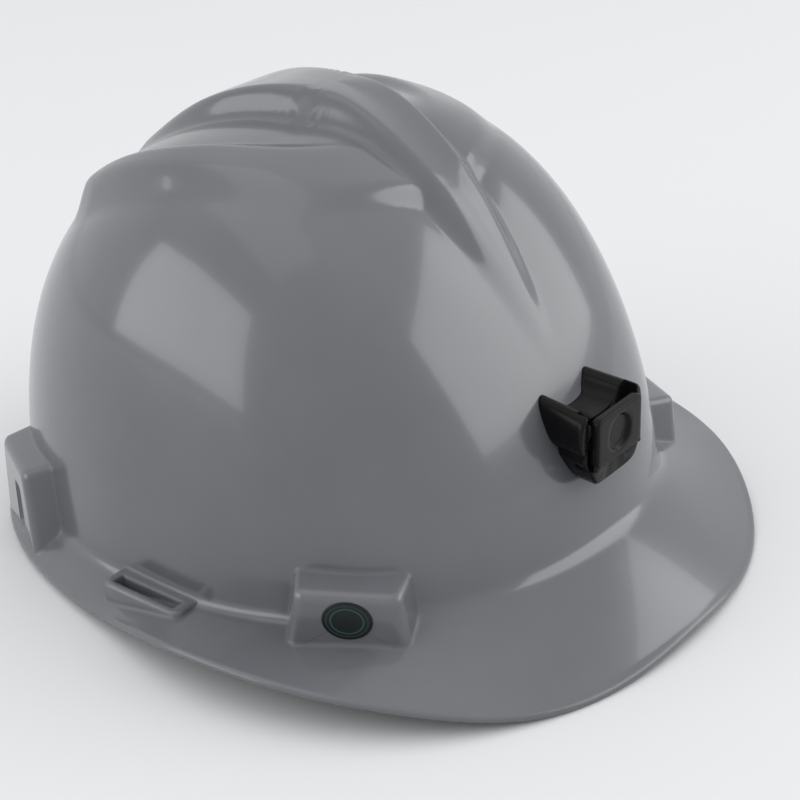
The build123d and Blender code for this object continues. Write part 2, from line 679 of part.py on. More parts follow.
# Cable clip: a base riveted to the rear of the dome with an open loop for the lamp's cable
clip_face = PLAN_Y + dome_radius(math.pi, CLIP_Z - CLIP_HEIGHT / 2) + CLIP_BASE
loop_outer = CLIP_LOOP_INNER_RADIUS + CLIP_LOOP_WALL
loop_z = CLIP_Z + CLIP_HEIGHT / 2 - loop_outer
loop_y = clip_face + CLIP_LOOP_INNER_RADIUS
with BuildPart() as cable_clip:
    with BuildSketch(Plane(origin=(0, clip_face - CLIP_ROOT, CLIP_Z), x_dir=(-1, 0, 0), z_dir=(0, 1, 0))):
        RectangleRounded(CLIP_WIDTH, CLIP_HEIGHT, CLIP_CORNER_RADIUS)
    extrude(amount=CLIP_ROOT)
    with BuildSketch(Plane.YZ.offset(-CLIP_LOOP_WIDTH / 2)):
        with Locations((loop_y, loop_z)):
            Circle(loop_outer)
        with Locations((clip_face - loop_outer, loop_z)):
            Rectangle(2 * loop_outer, 2 * loop_outer, mode=Mode.SUBTRACT)
        with Locations((loop_y, loop_z)):
            Circle(CLIP_LOOP_INNER_RADIUS, mode=Mode.SUBTRACT)
        with Locations((loop_y, loop_z + loop_outer / 2)):
            Rectangle(CLIP_MOUTH, loop_outer, mode=Mode.SUBTRACT)
    extrude(amount=CLIP_LOOP_WIDTH)
    add(Pos(0, SEAT_GAP, 0) * dome_outside.part, mode=Mode.SUBTRACT)
    rivet_z = CLIP_Z - CLIP_RIVET_OFFSET
    with BuildSketch(Plane(origin=(0, 0, rivet_z), x_dir=(-1, 0, 0), z_dir=(0, 1, 0))):
        Circle(RIVET_HOLE_RADIUS)
    extrude(amount=DOME_REAR + PEAK_WIDTH, mode=Mode.SUBTRACT)
finish(cable_clip, "cable_clip")

clip_inner = PLAN_Y + dome_radius(math.pi, rivet_z + RIVET_HEAD_RADIUS) - SHELL_WALL - SEAT_GAP - SEAT_GAP
with BuildPart() as cable_clip_rivet:
    clip_rivet_start = (0, clip_inner - RIVET_HEAD_HEIGHT, rivet_z)
    with BuildSketch(Plane(origin=clip_rivet_start, x_dir=(-1, 0, 0), z_dir=(0, 1, 0))):
        Circle(RIVET_HEAD_RADIUS)
    extrude(amount=RIVET_HEAD_HEIGHT)
    with BuildSketch(Plane(origin=(0, clip_inner, rivet_z), x_dir=(-1, 0, 0), z_dir=(0, 1, 0))):
        Circle(RIVET_RADIUS)
    extrude(amount=clip_face - clip_inner)
    with BuildSketch(Plane(origin=(0, clip_face, rivet_z), x_dir=(-1, 0, 0), z_dir=(0, 1, 0))):
        Circle(RIVET_HEAD_RADIUS)
    extrude(amount=RIVET_HEAD_HEIGHT)
finish(cable_clip_rivet, "cable_clip_rivet")

# Plain round label on the front right boss
label_foot_z = brim_z(math.radians(LUG_ANGLE_FRONT), LUG_REACH_FRONT / BRIM_WIDTHS[2])
label_z = (LUG_TOP_Z_FRONT - LUG_TOP_DROP + label_foot_z) / 2
with BuildPart() as side_label:
    with BuildSketch(boss_plane(-LUG_ANGLE_FRONT, LUG_REACH_FRONT, label_z)):
        Circle(LABEL_RADIUS)
    extrude(amount=LABEL_THICKNESS)
finish(side_label, "side_label")

BAND_Y = PLAN_Y + BAND_AXIS_OFFSET
band_outer = BAND_RADIUS + BAND_THICKNESS
left_rack_outer = BAND_RADIUS - 2 * RUN_GAP
left_rack_inner = left_rack_outer - RACK_THICKNESS
right_rack_outer = left_rack_inner - RUN_GAP
right_rack_inner = right_rack_outer - RACK_THICKNESS
channel_inner = right_rack_inner - RUN_GAP
channel_outer = left_rack_outer + RUN_GAP
rack_foot_z = RACK_Z - RACK_HEIGHT / 2


def rear_sector(z, inner, outer, near, far, side):
    """Flat ring sector about the band axis; angles are counted from straight behind to one side."""
    start = 90 - far if side > 0 else 90 + near
    with BuildSketch(Plane((0, BAND_Y, z))) as area:
        with BuildLine():
            wide = CenterArc((0, 0), outer, start, far - near)
            narrow = CenterArc((0, 0), inner, start, far - near)
            Line(wide @ 0, narrow @ 0)
            Line(wide @ 1, narrow @ 1)
        make_face()
    return area.sketch


def band_reach(degrees, wall):
    """Reach of the head band's face on the line square to the wall."""

    def is_inside(x, y):
        along = y - BAND_AXIS_OFFSET
        length = BAND_FRONT_LENGTH if along < 0 else BAND_RADIUS
        return (x / (BAND_RADIUS + wall)) ** 2 + (along / (length + wall)) ** 2 < 1

    return find_reach(degrees, is_inside)


# Head band: front half ellipse, rear arcs, and a sleeve at each end for the size strap
with BuildPart() as head_band:
    with BuildSketch(Plane((0, BAND_Y, BAND_FOOT_Z))):
        Ellipse(band_outer, BAND_FRONT_LENGTH + BAND_THICKNESS)
        Ellipse(BAND_RADIUS, BAND_FRONT_LENGTH, mode=Mode.SUBTRACT)
        with Locations((0, BAND_FRONT_LENGTH)):
            Rectangle(2 * BAND_FRONT_LENGTH, 2 * BAND_FRONT_LENGTH, mode=Mode.SUBTRACT)
    extrude(amount=BAND_HEIGHT)
    for side in (-1, 1):
        rear_plan = rear_sector(BAND_FOOT_Z, BAND_RADIUS, band_outer, BAND_END_ANGLE, 90, side)
        extrude(rear_plan, amount=BAND_HEIGHT)
        far = SLEEVE_START_ANGLE + SLEEVE_ANGLE
        foot = rack_foot_z - RUN_GAP
        sleeve_inner = channel_inner - SLEEVE_WALL
        height = RACK_HEIGHT + 2 * RUN_GAP + 2 * SLEEVE_WALL
        extrude(
            rear_sector(
                foot - SLEEVE_WALL,
                sleeve_inner,
                BAND_RADIUS + BAND_THICKNESS / 2,
                SLEEVE_START_ANGLE,
                far,
                side,
            ),
            amount=height,
        )
    for side in (-1, 1):
        near = BAND_END_ANGLE - SLEEVE_ANGLE
        far = 90 - SLEEVE_ANGLE
        extrude(
            rear_sector(foot, channel_inner, BAND_RADIUS, near, far, side),
            amount=RACK_HEIGHT + 2 * RUN_GAP,
            mode=Mode.SUBTRACT,
        )
    for degrees in lug_angles:
        with BuildSketch(boss_plane(degrees, band_reach(degrees, 0) - OVERRUN, KEY_ARM_Z)):
            Circle(PIN_HOLE_RADIUS)
        extrude(amount=2 * OVERRUN, mode=Mode.SUBTRACT)
finish(head_band, "head_band")

with BuildPart() as brow_pad:
    with BuildSketch(Plane((0, BAND_Y, BAND_FOOT_Z + (BAND_HEIGHT - BROW_PAD_HEIGHT) / 2))):
        Ellipse(BAND_RADIUS - RUN_GAP, BAND_FRONT_LENGTH - RUN_GAP)
        Ellipse(
            BAND_RADIUS - RUN_GAP - BROW_PAD_THICKNESS,
            BAND_FRONT_LENGTH - RUN_GAP - BROW_PAD_THICKNESS,
            mode=Mode.SUBTRACT,
        )
        with BuildLine():
            reach = 2 * BAND_FRONT_LENGTH
            side_x = reach * math.tan(math.radians(BROW_PAD_ANGLE))
            Polyline((0, 0), (side_x, -reach), (-side_x, -reach), close=True)
        make_face(mode=Mode.INTERSECT)
    extrude(amount=BROW_PAD_HEIGHT)
    fillet(brow_pad.edges(), radius=BROW_PAD_EDGE_RADIUS)
finish(brow_pad, "brow_pad")


def rack_plane(degrees, radius):
    """Plane square to a radius of the band axis, its y axis up; the angle grows to the left."""
    angle = math.radians(degrees)
    out = Vector(math.sin(angle), math.cos(angle), 0)
    return Plane(
        origin=(radius * out.X, BAND_Y + radius * out.Y, RACK_Z),
        x_dir=(-out.Y, out.X, 0),
        z_dir=out,
    )


# Size straps: curved racks that overlap behind the head, teeth above on one and below on the other
tooth_pitch = 2 * math.pi * PINION_PITCH_RADIUS / PINION_TEETH
pressure_slope = math.tan(math.radians(PRESSURE_ANGLE))
pinion_tip = PINION_PITCH_RADIUS + TOOTH_ADDENDUM
rack_tip = PINION_PITCH_RADIUS - TOOTH_ADDENDUM
rack_depth = PINION_PITCH_RADIUS + TOOTH_DEDENDUM
space_half = tooth_pitch / 4 + TOOTH_BACKLASH / 4


def rack_space(degrees, radius, side):
    """Space between two teeth of a rack."""
    wide = space_half + TOOTH_ADDENDUM * pressure_slope
    narrow = space_half - TOOTH_DEDENDUM * pressure_slope
    mouth = rack_tip - RUN_GAP
    with BuildSketch(rack_plane(degrees, radius)) as gap:
        with BuildLine():
            Polyline(
                (-wide, side * mouth),
                (wide, side * mouth),
                (wide, side * rack_tip),
                (narrow, side * rack_depth),
                (-narrow, side * rack_depth),
                (-wide, side * rack_tip),
                close=True,
            )
        make_face()
    return gap.sketch


with BuildPart() as left_size_strap:
    left_plan = rear_sector(rack_foot_z, left_rack_inner, left_rack_outer, -RACK_TIP_ANGLE, RACK_REAR_ANGLE, 1)
    extrude(left_plan, amount=RACK_HEIGHT)
    window = rear_sector(
        RACK_Z - pinion_tip - RUN_GAP,
        left_rack_inner - RUN_GAP,
        left_rack_outer + RUN_GAP,
        -RACK_SLOT_ANGLE,
        RACK_SLOT_ANGLE,
        1,
    )
    extrude(window, amount=pinion_tip + RUN_GAP + rack_tip, mode=Mode.SUBTRACT)
    middle = (left_rack_inner + left_rack_outer) / 2
    for k in range(-RACK_SPACES_EACH_WAY, RACK_SPACES_EACH_WAY + 1):
        degrees = math.degrees(k * tooth_pitch / middle)
        extrude(rack_space(degrees, middle, 1), amount=RACK_THICKNESS, both=True, mode=Mode.SUBTRACT)
finish(left_size_strap, "left_size_strap")

with BuildPart() as right_size_strap:
    right_plan = rear_sector(rack_foot_z, right_rack_inner, right_rack_outer, -RACK_TIP_ANGLE, RACK_REAR_ANGLE, -1)
    extrude(right_plan, amount=RACK_HEIGHT)
    window = rear_sector(
        RACK_Z - rack_tip,
        right_rack_inner - RUN_GAP,
        right_rack_outer + RUN_GAP,
        -RACK_SLOT_ANGLE,
        RACK_SLOT_ANGLE,
        -1,
    )
    extrude(window, amount=pinion_tip + RUN_GAP + rack_tip, mode=Mode.SUBTRACT)
    middle = (right_rack_inner + right_rack_outer) / 2
    for k in range(-RACK_SPACES_EACH_WAY, RACK_SPACES_EACH_WAY + 1):
        degrees = math.degrees(k * tooth_pitch / middle)
        extrude(rack_space(degrees, middle, -1), amount=RACK_THICKNESS, both=True, mode=Mode.SUBTRACT)
finish(right_size_strap, "right_size_strap")

# Ratchet housing around the overlapped racks, with a flat round boss for the knob
housing_foot = rack_foot_z - RUN_GAP - HOUSING_CAP
housing_height = RACK_HEIGHT + 2 * RUN_GAP + 2 * HOUSING_CAP
housing_outer = channel_outer + HOUSING_WALL
boss_face = housing_outer + BOSS_RISE
cover_outer = channel_inner - SEAT_GAP / 2
cover_inner = cover_outer - HOUSING_WALL
screw_seat = cover_inner - SCREW_HEAD_RADIUS ** 2 / cover_inner
with BuildPart() as ratchet_housing:
    housing_plan = rear_sector(housing_foot, channel_inner, housing_outer, -HOUSING_ANGLE, HOUSING_ANGLE, 1)
    extrude(housing_plan, amount=housing_height)
    with BuildSketch(rack_plane(0, channel_outer)):
        Circle(DETENT_OUTER_RADIUS + RUN_GAP)
    extrude(amount=boss_face - channel_outer)
    cut_angle = HOUSING_ANGLE + SLEEVE_ANGLE
    extrude(
        rear_sector(rack_foot_z - RUN_GAP, channel_inner - RUN_GAP, channel_outer, -cut_angle, cut_angle, 1),
        amount=RACK_HEIGHT + 2 * RUN_GAP,
        mode=Mode.SUBTRACT,
    )
    with BuildSketch(rack_plane(0, channel_inner)):
        Circle(SHAFT_RADIUS + SHAFT_CLEARANCE)
    extrude(amount=boss_face, mode=Mode.SUBTRACT)
    for degrees in (-SCREW_ANGLE, SCREW_ANGLE):
        with BuildSketch(rack_plane(degrees, cover_inner)):
            with GridLocations(0, RACK_HEIGHT + 2 * RUN_GAP + HOUSING_CAP, 1, 2):
                Circle(SCREW_RADIUS + SHAFT_CLEARANCE)
        extrude(amount=SCREW_LENGTH + RUN_GAP, mode=Mode.SUBTRACT)
finish(ratchet_housing, "ratchet_housing")

with BuildPart() as ratchet_cover:
    cover_plan = rear_sector(housing_foot, cover_inner, cover_outer, -HOUSING_ANGLE, HOUSING_ANGLE, 1)
    extrude(cover_plan, amount=housing_height)
    with BuildSketch(rack_plane(0, 0)):
        Circle(PIVOT_RADIUS + SHAFT_CLEARANCE)
    extrude(amount=cover_outer + OVERRUN, mode=Mode.SUBTRACT)
    for degrees in (-SCREW_ANGLE, SCREW_ANGLE):
        with BuildSketch(rack_plane(degrees, 0)):
            with GridLocations(0, RACK_HEIGHT + 2 * RUN_GAP + HOUSING_CAP, 1, 2):
                Circle(SCREW_RADIUS + SHAFT_CLEARANCE)
        extrude(amount=cover_outer + OVERRUN, mode=Mode.SUBTRACT)
finish(ratchet_cover, "ratchet_cover")

with BuildPart() as housing_screws:
    for degrees in (-SCREW_ANGLE, SCREW_ANGLE):
        with BuildSketch(rack_plane(degrees, screw_seat - SCREW_HEAD_HEIGHT)):
            with GridLocations(0, RACK_HEIGHT + 2 * RUN_GAP + HOUSING_CAP, 1, 2):
                Circle(SCREW_HEAD_RADIUS)
        extrude(amount=SCREW_HEAD_HEIGHT)
        with BuildSketch(rack_plane(degrees, screw_seat)):
            with GridLocations(0, RACK_HEIGHT + 2 * RUN_GAP + HOUSING_CAP, 1, 2):
                Circle(SCREW_RADIUS)
        extrude(amount=SCREW_LENGTH)
finish(housing_screws, "housing_screws")

with BuildPart() as nape_pad:
    pad_outer = cover_inner - RUN_GAP
    extrude(
        rear_sector(
            RACK_Z - NAPE_PAD_HEIGHT / 2,
            pad_outer - NAPE_PAD_THICKNESS,
            pad_outer,
            -NAPE_PAD_ANGLE,
            NAPE_PAD_ANGLE,
            1,
        ),
        amount=NAPE_PAD_HEIGHT,
    )
    fillet(nape_pad.edges(), radius=NAPE_PAD_EDGE_RADIUS)
finish(nape_pad, "nape_pad")

# Ring with click notches on the boss
with BuildPart() as detent_ring:
    with BuildSketch(rack_plane(0, boss_face)):
        Circle(DETENT_OUTER_RADIUS)
        Circle(DETENT_INNER_RADIUS, mode=Mode.SUBTRACT)
        with PolarLocations(DETENT_INNER_RADIUS, DETENT_NOTCHES):
            Circle(DETENT_NOTCH_RADIUS, mode=Mode.SUBTRACT)
    extrude(amount=DETENT_THICKNESS)
finish(detent_ring, "detent_ring")

# Pinion between the racks, on one shaft with the knob
pinion_rear = channel_outer - pinion_tip ** 2 / (2 * channel_outer) - RUN_GAP / 2
knob_floor = boss_face + DETENT_THICKNESS + RUN_GAP
root_radius = PINION_PITCH_RADIUS - TOOTH_DEDENDUM
tooth_half = tooth_pitch / 4 - TOOTH_BACKLASH / 2
tooth_root = tooth_half + TOOTH_DEDENDUM * pressure_slope / 2
tooth_end = tooth_half - TOOTH_ADDENDUM * pressure_slope
with BuildSketch() as tooth:
    with BuildLine():
        Polyline(
            (0, -tooth_root),
            (root_radius, -tooth_root),
            (PINION_PITCH_RADIUS, -tooth_half),
            (pinion_tip, -tooth_end),
            (pinion_tip, tooth_end),
            (PINION_PITCH_RADIUS, tooth_half),
            (root_radius, tooth_root),
            (0, tooth_root),
            close=True,
        )
    make_face()
with BuildPart() as ratchet_pinion:
    with BuildSketch(rack_plane(0, channel_inner + RUN_GAP / 2)):
        Circle(root_radius)
        with PolarLocations(0, PINION_TEETH, start_angle=90):
            add(tooth.sketch)
    extrude(amount=pinion_rear - channel_inner - RUN_GAP / 2)
    with BuildSketch(rack_plane(0, pinion_rear)):
        Circle(SHAFT_RADIUS)
    extrude(amount=knob_floor + KNOB_BORE_DEPTH - pinion_rear)
    with BuildSketch(rack_plane(0, cover_inner)):
        Circle(PIVOT_RADIUS)
    extrude(amount=channel_inner + RUN_GAP - cover_inner)
finish(ratchet_pinion, "ratchet_pinion")

with BuildPart() as ratchet_knob:
    with BuildSketch(rack_plane(0, boss_face + RUN_GAP)):
        Circle(KNOB_RADIUS)
        with PolarLocations(KNOB_RADIUS + KNOB_GRIP_RADIUS / 2, KNOB_GRIPS):
            Circle(KNOB_GRIP_RADIUS, mode=Mode.SUBTRACT)
    extrude(amount=KNOB_THICKNESS)
    rear_edges = ratchet_knob.faces().sort_by(Axis.Y)[-1].edges()
    fillet(rear_edges, radius=KNOB_EDGE_RADIUS)
    with BuildSketch(rack_plane(0, boss_face + RUN_GAP)):
        Circle(DETENT_OUTER_RADIUS + RUN_GAP)
    extrude(amount=DETENT_THICKNESS, mode=Mode.SUBTRACT)
    with BuildSketch(rack_plane(0, boss_face + RUN_GAP)):
        Circle(DETENT_INNER_RADIUS - RUN_GAP)
        Circle(PAWL_INNER_RADIUS, mode=Mode.SUBTRACT)
        Rectangle(PAWL_WIDTH, 2 * DETENT_OUTER_RADIUS, mode=Mode.INTERSECT)
    extrude(amount=DETENT_THICKNESS + RUN_GAP)
    with BuildSketch(rack_plane(0, boss_face)):
        Circle(SHAFT_RADIUS + SHAFT_CLEARANCE)
    extrude(amount=knob_floor + KNOB_BORE_DEPTH + RUN_GAP - boss_face, mode=Mode.SUBTRACT)
finish(ratchet_knob, "ratchet_knob")


def key_outline(degrees):
    """Side view of a key: tongue in the boss, bridge under the wall, plate inside, arm to the band."""
    angle = math.radians(degrees)
    socket_middle = lug_reach(degrees) - LUG_WALL - SOCKET_DEPTH / 2
    tongue_out = socket_middle + KEY_TONGUE / 2
    tongue_in = socket_middle - KEY_TONGUE / 2
    tongue_top = lug_top(degrees) - SOCKET_HEADROOM - KEY_TIP_GAP
    share = tongue_out / around(BRIM_WIDTHS, angle)
    bridge_top = brim_z(angle, share) - brim_drop(angle) - KEY_BRIDGE_GAP
    bridge_foot = bridge_top - KEY_BRIDGE
    plate = []
    for z in (DOME_FOOT_Z, KEY_ARM_Z, KEY_TOP_Z):
        plate.append((wall_reach(degrees, z) - SHELL_WALL - KEY_WALL_GAP, z))
    with BuildSketch(side_plane(degrees)) as outline:
        with BuildLine():
            Polyline(
                (tongue_out, bridge_foot),
                (tongue_out, tongue_top),
                (tongue_in, tongue_top),
                (tongue_in, bridge_top),
                (plate[0][0], bridge_top),
                (plate[0][0], max(plate[0][1], bridge_top + KEY_TIP_GAP)),
                plate[1],
                plate[2],
                (plate[2][0] - KEY_PLATE, KEY_TOP_Z),
                (plate[1][0] - KEY_PLATE, KEY_ARM_Z),
                (plate[0][0] - KEY_PLATE, bridge_foot),
                close=True,
            )
        make_face()
    return outline.sketch


key_names = {
    -LUG_ANGLE_FRONT: "suspension_key_front_right",
    LUG_ANGLE_FRONT: "suspension_key_front_left",
    -LUG_ANGLE_REAR: "suspension_key_rear_right",
    LUG_ANGLE_REAR: "suspension_key_rear_left",
}
for degrees in lug_angles:
    arm_root = wall_reach(degrees, KEY_ARM_Z) - SHELL_WALL - KEY_WALL_GAP - KEY_PLATE / 2
    arm_end = band_reach(degrees, BAND_THICKNESS) + ARM_BAND_GAP
    cap_far = band_reach(degrees, 0) - CAP_BAND_GAP
    with BuildPart() as key:
        extrude(key_outline(degrees), amount=KEY_WIDTH / 2, both=True)
        with BuildSketch(boss_plane(degrees, arm_end, KEY_ARM_Z)):
            Rectangle(KEY_ARM_WIDTH, KEY_ARM_HEIGHT)
        extrude(amount=arm_root - arm_end)
        with BuildSketch(boss_plane(degrees, cap_far - PIN_CAP_HEIGHT, KEY_ARM_Z)):
            Circle(PIN_RADIUS)
        extrude(amount=arm_end + KEY_TIP_GAP - cap_far + PIN_CAP_HEIGHT)
        with BuildSketch(boss_plane(degrees, cap_far - PIN_CAP_HEIGHT, KEY_ARM_Z)):
            Circle(PIN_CAP_RADIUS)
        extrude(amount=PIN_CAP_HEIGHT)
    finish(key, key_names[degrees])


def strap_anchor(degrees):
    """Point in plan where a crown strap's outer face stands against its key."""
    reach = wall_reach(degrees, KEY_TOP_Z) - SHELL_WALL - KEY_WALL_GAP - KEY_PLATE - STRAP_KEY_GAP
    x, y = wall_point(degrees, reach)
    return Vector(x, PLAN_Y + y, 0)


# Crown straps: webbing bands from each front key over the crown to the opposite rear key
strap_pairs = (
    ("crown_strap_lower", -LUG_ANGLE_FRONT, LUG_ANGLE_REAR, 0.0),
    ("crown_strap_upper", LUG_ANGLE_FRONT, -LUG_ANGLE_REAR, STRAP_THICKNESS + STRAP_CROSSING_GAP),
)
for name, start_angle, end_angle, lift in strap_pairs:
    start = strap_anchor(start_angle)
    end = strap_anchor(end_angle)
    run = end - start
    half = run.length / 2
    centre = (start + end) * (1 / 2)
    ahead = run.normalized()
    rise = STRAP_CROWN_Z + lift - STRAP_SPRING_Z
    leg = STRAP_SPRING_Z - STRAP_FOOT_Z
    with BuildPart() as strap:
        with BuildSketch(Plane(origin=centre, x_dir=ahead, z_dir=ahead.cross(Vector(0, 0, 1)))):
            with Locations((0, STRAP_SPRING_Z)):
                Ellipse(half, rise)
                Ellipse(half - STRAP_THICKNESS, rise - STRAP_THICKNESS, mode=Mode.SUBTRACT)
            with Locations((0, STRAP_SPRING_Z - rise)):
                Rectangle(2 * half + OVERRUN, 2 * rise, mode=Mode.SUBTRACT)
            for side in (-1, 1):
                with Locations((side * (half - STRAP_THICKNESS / 2), STRAP_SPRING_Z - leg / 2)):
                    Rectangle(STRAP_THICKNESS, leg)
        extrude(amount=STRAP_WIDTH / 2, both=True)
    finish(strap, name)
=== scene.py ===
# %% [markdown]
# # A miner's hard hat
# The metal and plastic bones of this helmet were drawn in CAD. Here they are loaded as a fixed
# frame, and each visible surface is worked out again as a formula, so that glossy plastic has no
# facets. All formulas are in millimetres; a mesh gets its points in metres.

# %% Load the frame
import json
import math

import bmesh
import bpy
import numpy as np
from mathutils import Matrix, Vector


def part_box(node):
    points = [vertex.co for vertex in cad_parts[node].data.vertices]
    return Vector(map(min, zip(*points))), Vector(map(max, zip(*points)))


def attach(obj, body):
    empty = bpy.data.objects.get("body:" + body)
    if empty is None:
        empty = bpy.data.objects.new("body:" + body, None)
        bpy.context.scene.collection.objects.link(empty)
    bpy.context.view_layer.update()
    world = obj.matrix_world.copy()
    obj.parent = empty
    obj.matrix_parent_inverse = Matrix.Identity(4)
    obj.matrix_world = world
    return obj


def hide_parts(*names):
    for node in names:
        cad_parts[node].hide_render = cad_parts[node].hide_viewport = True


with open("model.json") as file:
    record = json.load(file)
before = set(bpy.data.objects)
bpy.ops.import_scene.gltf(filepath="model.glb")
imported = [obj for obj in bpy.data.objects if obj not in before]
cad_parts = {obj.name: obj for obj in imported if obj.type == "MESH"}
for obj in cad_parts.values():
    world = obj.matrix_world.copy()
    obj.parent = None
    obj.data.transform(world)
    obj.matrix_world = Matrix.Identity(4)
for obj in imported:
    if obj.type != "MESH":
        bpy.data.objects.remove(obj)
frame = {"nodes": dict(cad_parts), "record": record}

# A plain start of Blender has a cube, a lamp and a camera of its own.
for name in ("Cube", "Light", "Camera"):
    if name in bpy.data.objects:
        bpy.data.objects.remove(bpy.data.objects[name])
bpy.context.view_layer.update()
MM = 0.001

# %% [markdown]
# ## Surfaces from arrays
# A surface is a grid of points: one index runs along a profile, the other around it. The last
# column joins the first, and each end is closed with triangles round one central point. The whole
# array goes into the mesh at once.

# %% Helper: a grid of points becomes a mesh
def grid_mesh(name, points, flip=False):
    """points is (rows, columns, 3) in mm; the corner order of every face is turned by flip."""
    rows, cols = points.shape[:2]
    here = np.arange(rows * cols).reshape(rows, cols)
    right = np.roll(here, -1, axis=1)
    faces = [np.stack([here[:-1], right[:-1], right[1:], here[1:]], axis=-1).reshape(-1, 4)]
    verts = np.vstack([points.reshape(-1, 3), points[0].mean(axis=0), points[-1].mean(axis=0)])
    for a, b, centre in ((right[0], here[0], rows * cols), (here[-1], right[-1], rows * cols + 1)):
        faces.append(np.stack([a, b, np.full_like(a, centre)], -1))
    if flip:
        faces = [f[:, ::-1] for f in faces]
    mesh = bpy.data.meshes.new(name)
    mesh.from_pydata((verts * MM).tolist(), [], [f.tolist() for group in faces for f in group])
    mesh.update()
    mesh.polygons.foreach_set("use_smooth", np.ones(len(mesh.polygons), dtype=bool))
    piece = bpy.data.objects.new(name, mesh)
    bpy.context.scene.collection.objects.link(piece)
    return piece


def circle(steps):
    """Cosines and sines of equal steps round a circle."""
    t = np.linspace(0, 2 * math.pi, steps, endpoint=False)
    return np.cos(t), np.sin(t)


def crisp(piece):
    """Marks edges sharper than 38 degrees, so flat faces stay flat under smooth shading."""
    bpy.context.view_layer.objects.active = piece
    for other in bpy.context.selected_objects:
        other.select_set(False)
    piece.select_set(True)
    bpy.ops.object.shade_smooth_by_angle(angle=math.radians(38.0))
    piece.select_set(False)


def box_mm(piece):
    points = np.array([v.co for v in piece.data.vertices]) * 1000
    return np.round(points.min(0), 1), np.round(points.max(0), 1)


def compare(piece, node_name):
    """Prints the box of a piece beside the box of the CAD solid that it replaces, in mm."""
    cad = [np.round(np.array(corner) * 1000, 1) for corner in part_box(node_name)]
    print(piece.name, "from", *box_mm(piece), "and in CAD from", *cad)


def smooth_table(places, values, where):
    """Smooth curve through a table, level at both ends: each cubic piece takes its slopes from
    its neighbours."""
    places, values = np.asarray(places, float), np.asarray(values, float)
    slope = np.zeros_like(values)
    slope[1:-1] = (values[2:] - values[:-2]) / (places[2:] - places[:-2])
    where = np.clip(where, places[0], places[-1])
    k = np.clip(np.searchsorted(places, where, side="right") - 1, 0, len(places) - 2)
    gap = places[k + 1] - places[k]
    t = (where - places[k]) / gap
    cubic = (values[k + 1] - values[k]) * (3 - 2 * t) * t * t
    return values[k] + cubic + gap * t * (1 - t) * (slope[k] * (1 - t) - slope[k + 1] * t)


def ramp(value):
    """0 below zero, 1 above one, a smooth S between."""
    t = np.clip(value, 0, 1)
    return t * t * (3 - 2 * t)


# %% [markdown]
# ## The shell
# A hard hat is one injection moulding. Its plan is a superellipse, longer behind the ears than in
# front, and each radial profile is another superellipse whose fullness changes around the head.
# On the crown stands a raised crest: a stem in front that opens into two arms, and a ridge
# between them. The numbers are those of the CAD source, but for lower arms with softer flanks and
# a ridge that fades before the lamp bracket, which follow the photograph more closely.

# %% Sizes of the dome, brim and crest
HALF_WIDTH, FRONT, REAR, PLAN_POWER, PLAN_Y = 97.0, 111.0, 126.5, 2.3, 4.5
FOOT_Z, TOP_Z, WALL = 11.4, 154.0, 2.4
RISE = TOP_Z - FOOT_Z
BRIM_AT = (0, 25, 50, 75, 100, 130, 180)
BRIM_WIDTHS = (33.5, 33.5, 31.5, 25.0, 14.3, 10.5, 9.0)
BRIM_EDGES = (5.0, 3.2, 13.5, 16.0, 7.0, 4.6, 4.0)
BRIM_WALL, FILLET, UNDER_BEND, INNER_STEP = 2.6, 4.0, 1.2, 0.8
CREST_LENGTH, CREST_FRONT, CREST_HALF, CREST_RISE = 177.0, -97.0, 64.0, 10.5
CREST_FLANK, FRONT_SOFTER, RIDGE_FADE = 8.0, 8.0, (0.02, 0.24)
OUTER_AT = (0.0, 0.05, 0.11, 0.18, 0.24, 0.28, 0.31, 0.36, 0.44, 0.6, 0.72, 0.89, 1.0)
OUTER = (0.05, 0.07, 0.13, 0.18, 0.21, 0.26, 0.5, 0.75, 0.89, 0.97, 1.0, 0.95, 0.86)
INNER_AT = (0.0, 0.38, 0.42, 0.48, 0.54, 0.62, 0.75, 1.0)
INNER = (0.15, 0.2, 0.4, 0.55, 0.63, 0.7, 0.77, 0.78)
RIDGE_AT = (0.0, 0.05, 0.11, 0.24, 0.38, 0.5, 0.65, 0.8, 1.0)
RIDGE = (0.06, 0.09, 0.14, 0.22, 0.26, 0.27, 0.3, 0.36, 0.4)
RIDGE_HIGH = (0.0, 0.3, 0.48, 0.72, 0.94, 0.98, 0.95, 0.75, 0.25)
ARM_AT = (0.0, 0.24, 0.3, 0.38, 0.5, 0.8, 1.0)
ARM_HIGH = (0.0, 0.42, 0.38, 0.24, 0.24, 0.62, 0.78)


# %% Formulas of the dome
def plan_radius(angle):
    """Superellipse in plan, |x/a|^p + |y/b|^p = 1; angle 0 is the front."""
    length = np.where(np.cos(angle) > 0, FRONT, REAR)
    across, ahead = np.abs(np.sin(angle) / HALF_WIDTH), np.abs(np.cos(angle) / length)
    return (across ** PLAN_POWER + ahead ** PLAN_POWER) ** (-1 / PLAN_POWER)


def fullness(angle):
    """Power m of the radial superellipse: a mean and two cosines, fullest at the sides."""
    return 2.4 - 0.27 * np.cos(angle) - 0.45 * np.cos(2 * angle)


def dome_radius(angle, z):
    """Plan radius times (1 - level^m)^(1/m); level runs from 0 at the foot to 1 on top."""
    m = fullness(angle)
    level = np.clip((z - FOOT_Z) / RISE, 0, 1)
    return plan_radius(angle) * (1 - level ** m) ** (1 / m)


def crease_z(angle):
    """Height at which dome and brim meet: a mean and two cosines, highest in front."""
    return 17.4 + 3.8 * np.cos(2 * angle) + 6.5 * np.cos(angle)


def around(values, angle):
    """Looks a value up in the brim's table by degrees from the front, the same on both sides."""
    degrees = np.abs(np.degrees(np.arctan2(np.sin(angle), np.cos(angle))))
    return smooth_table(BRIM_AT, values, degrees)


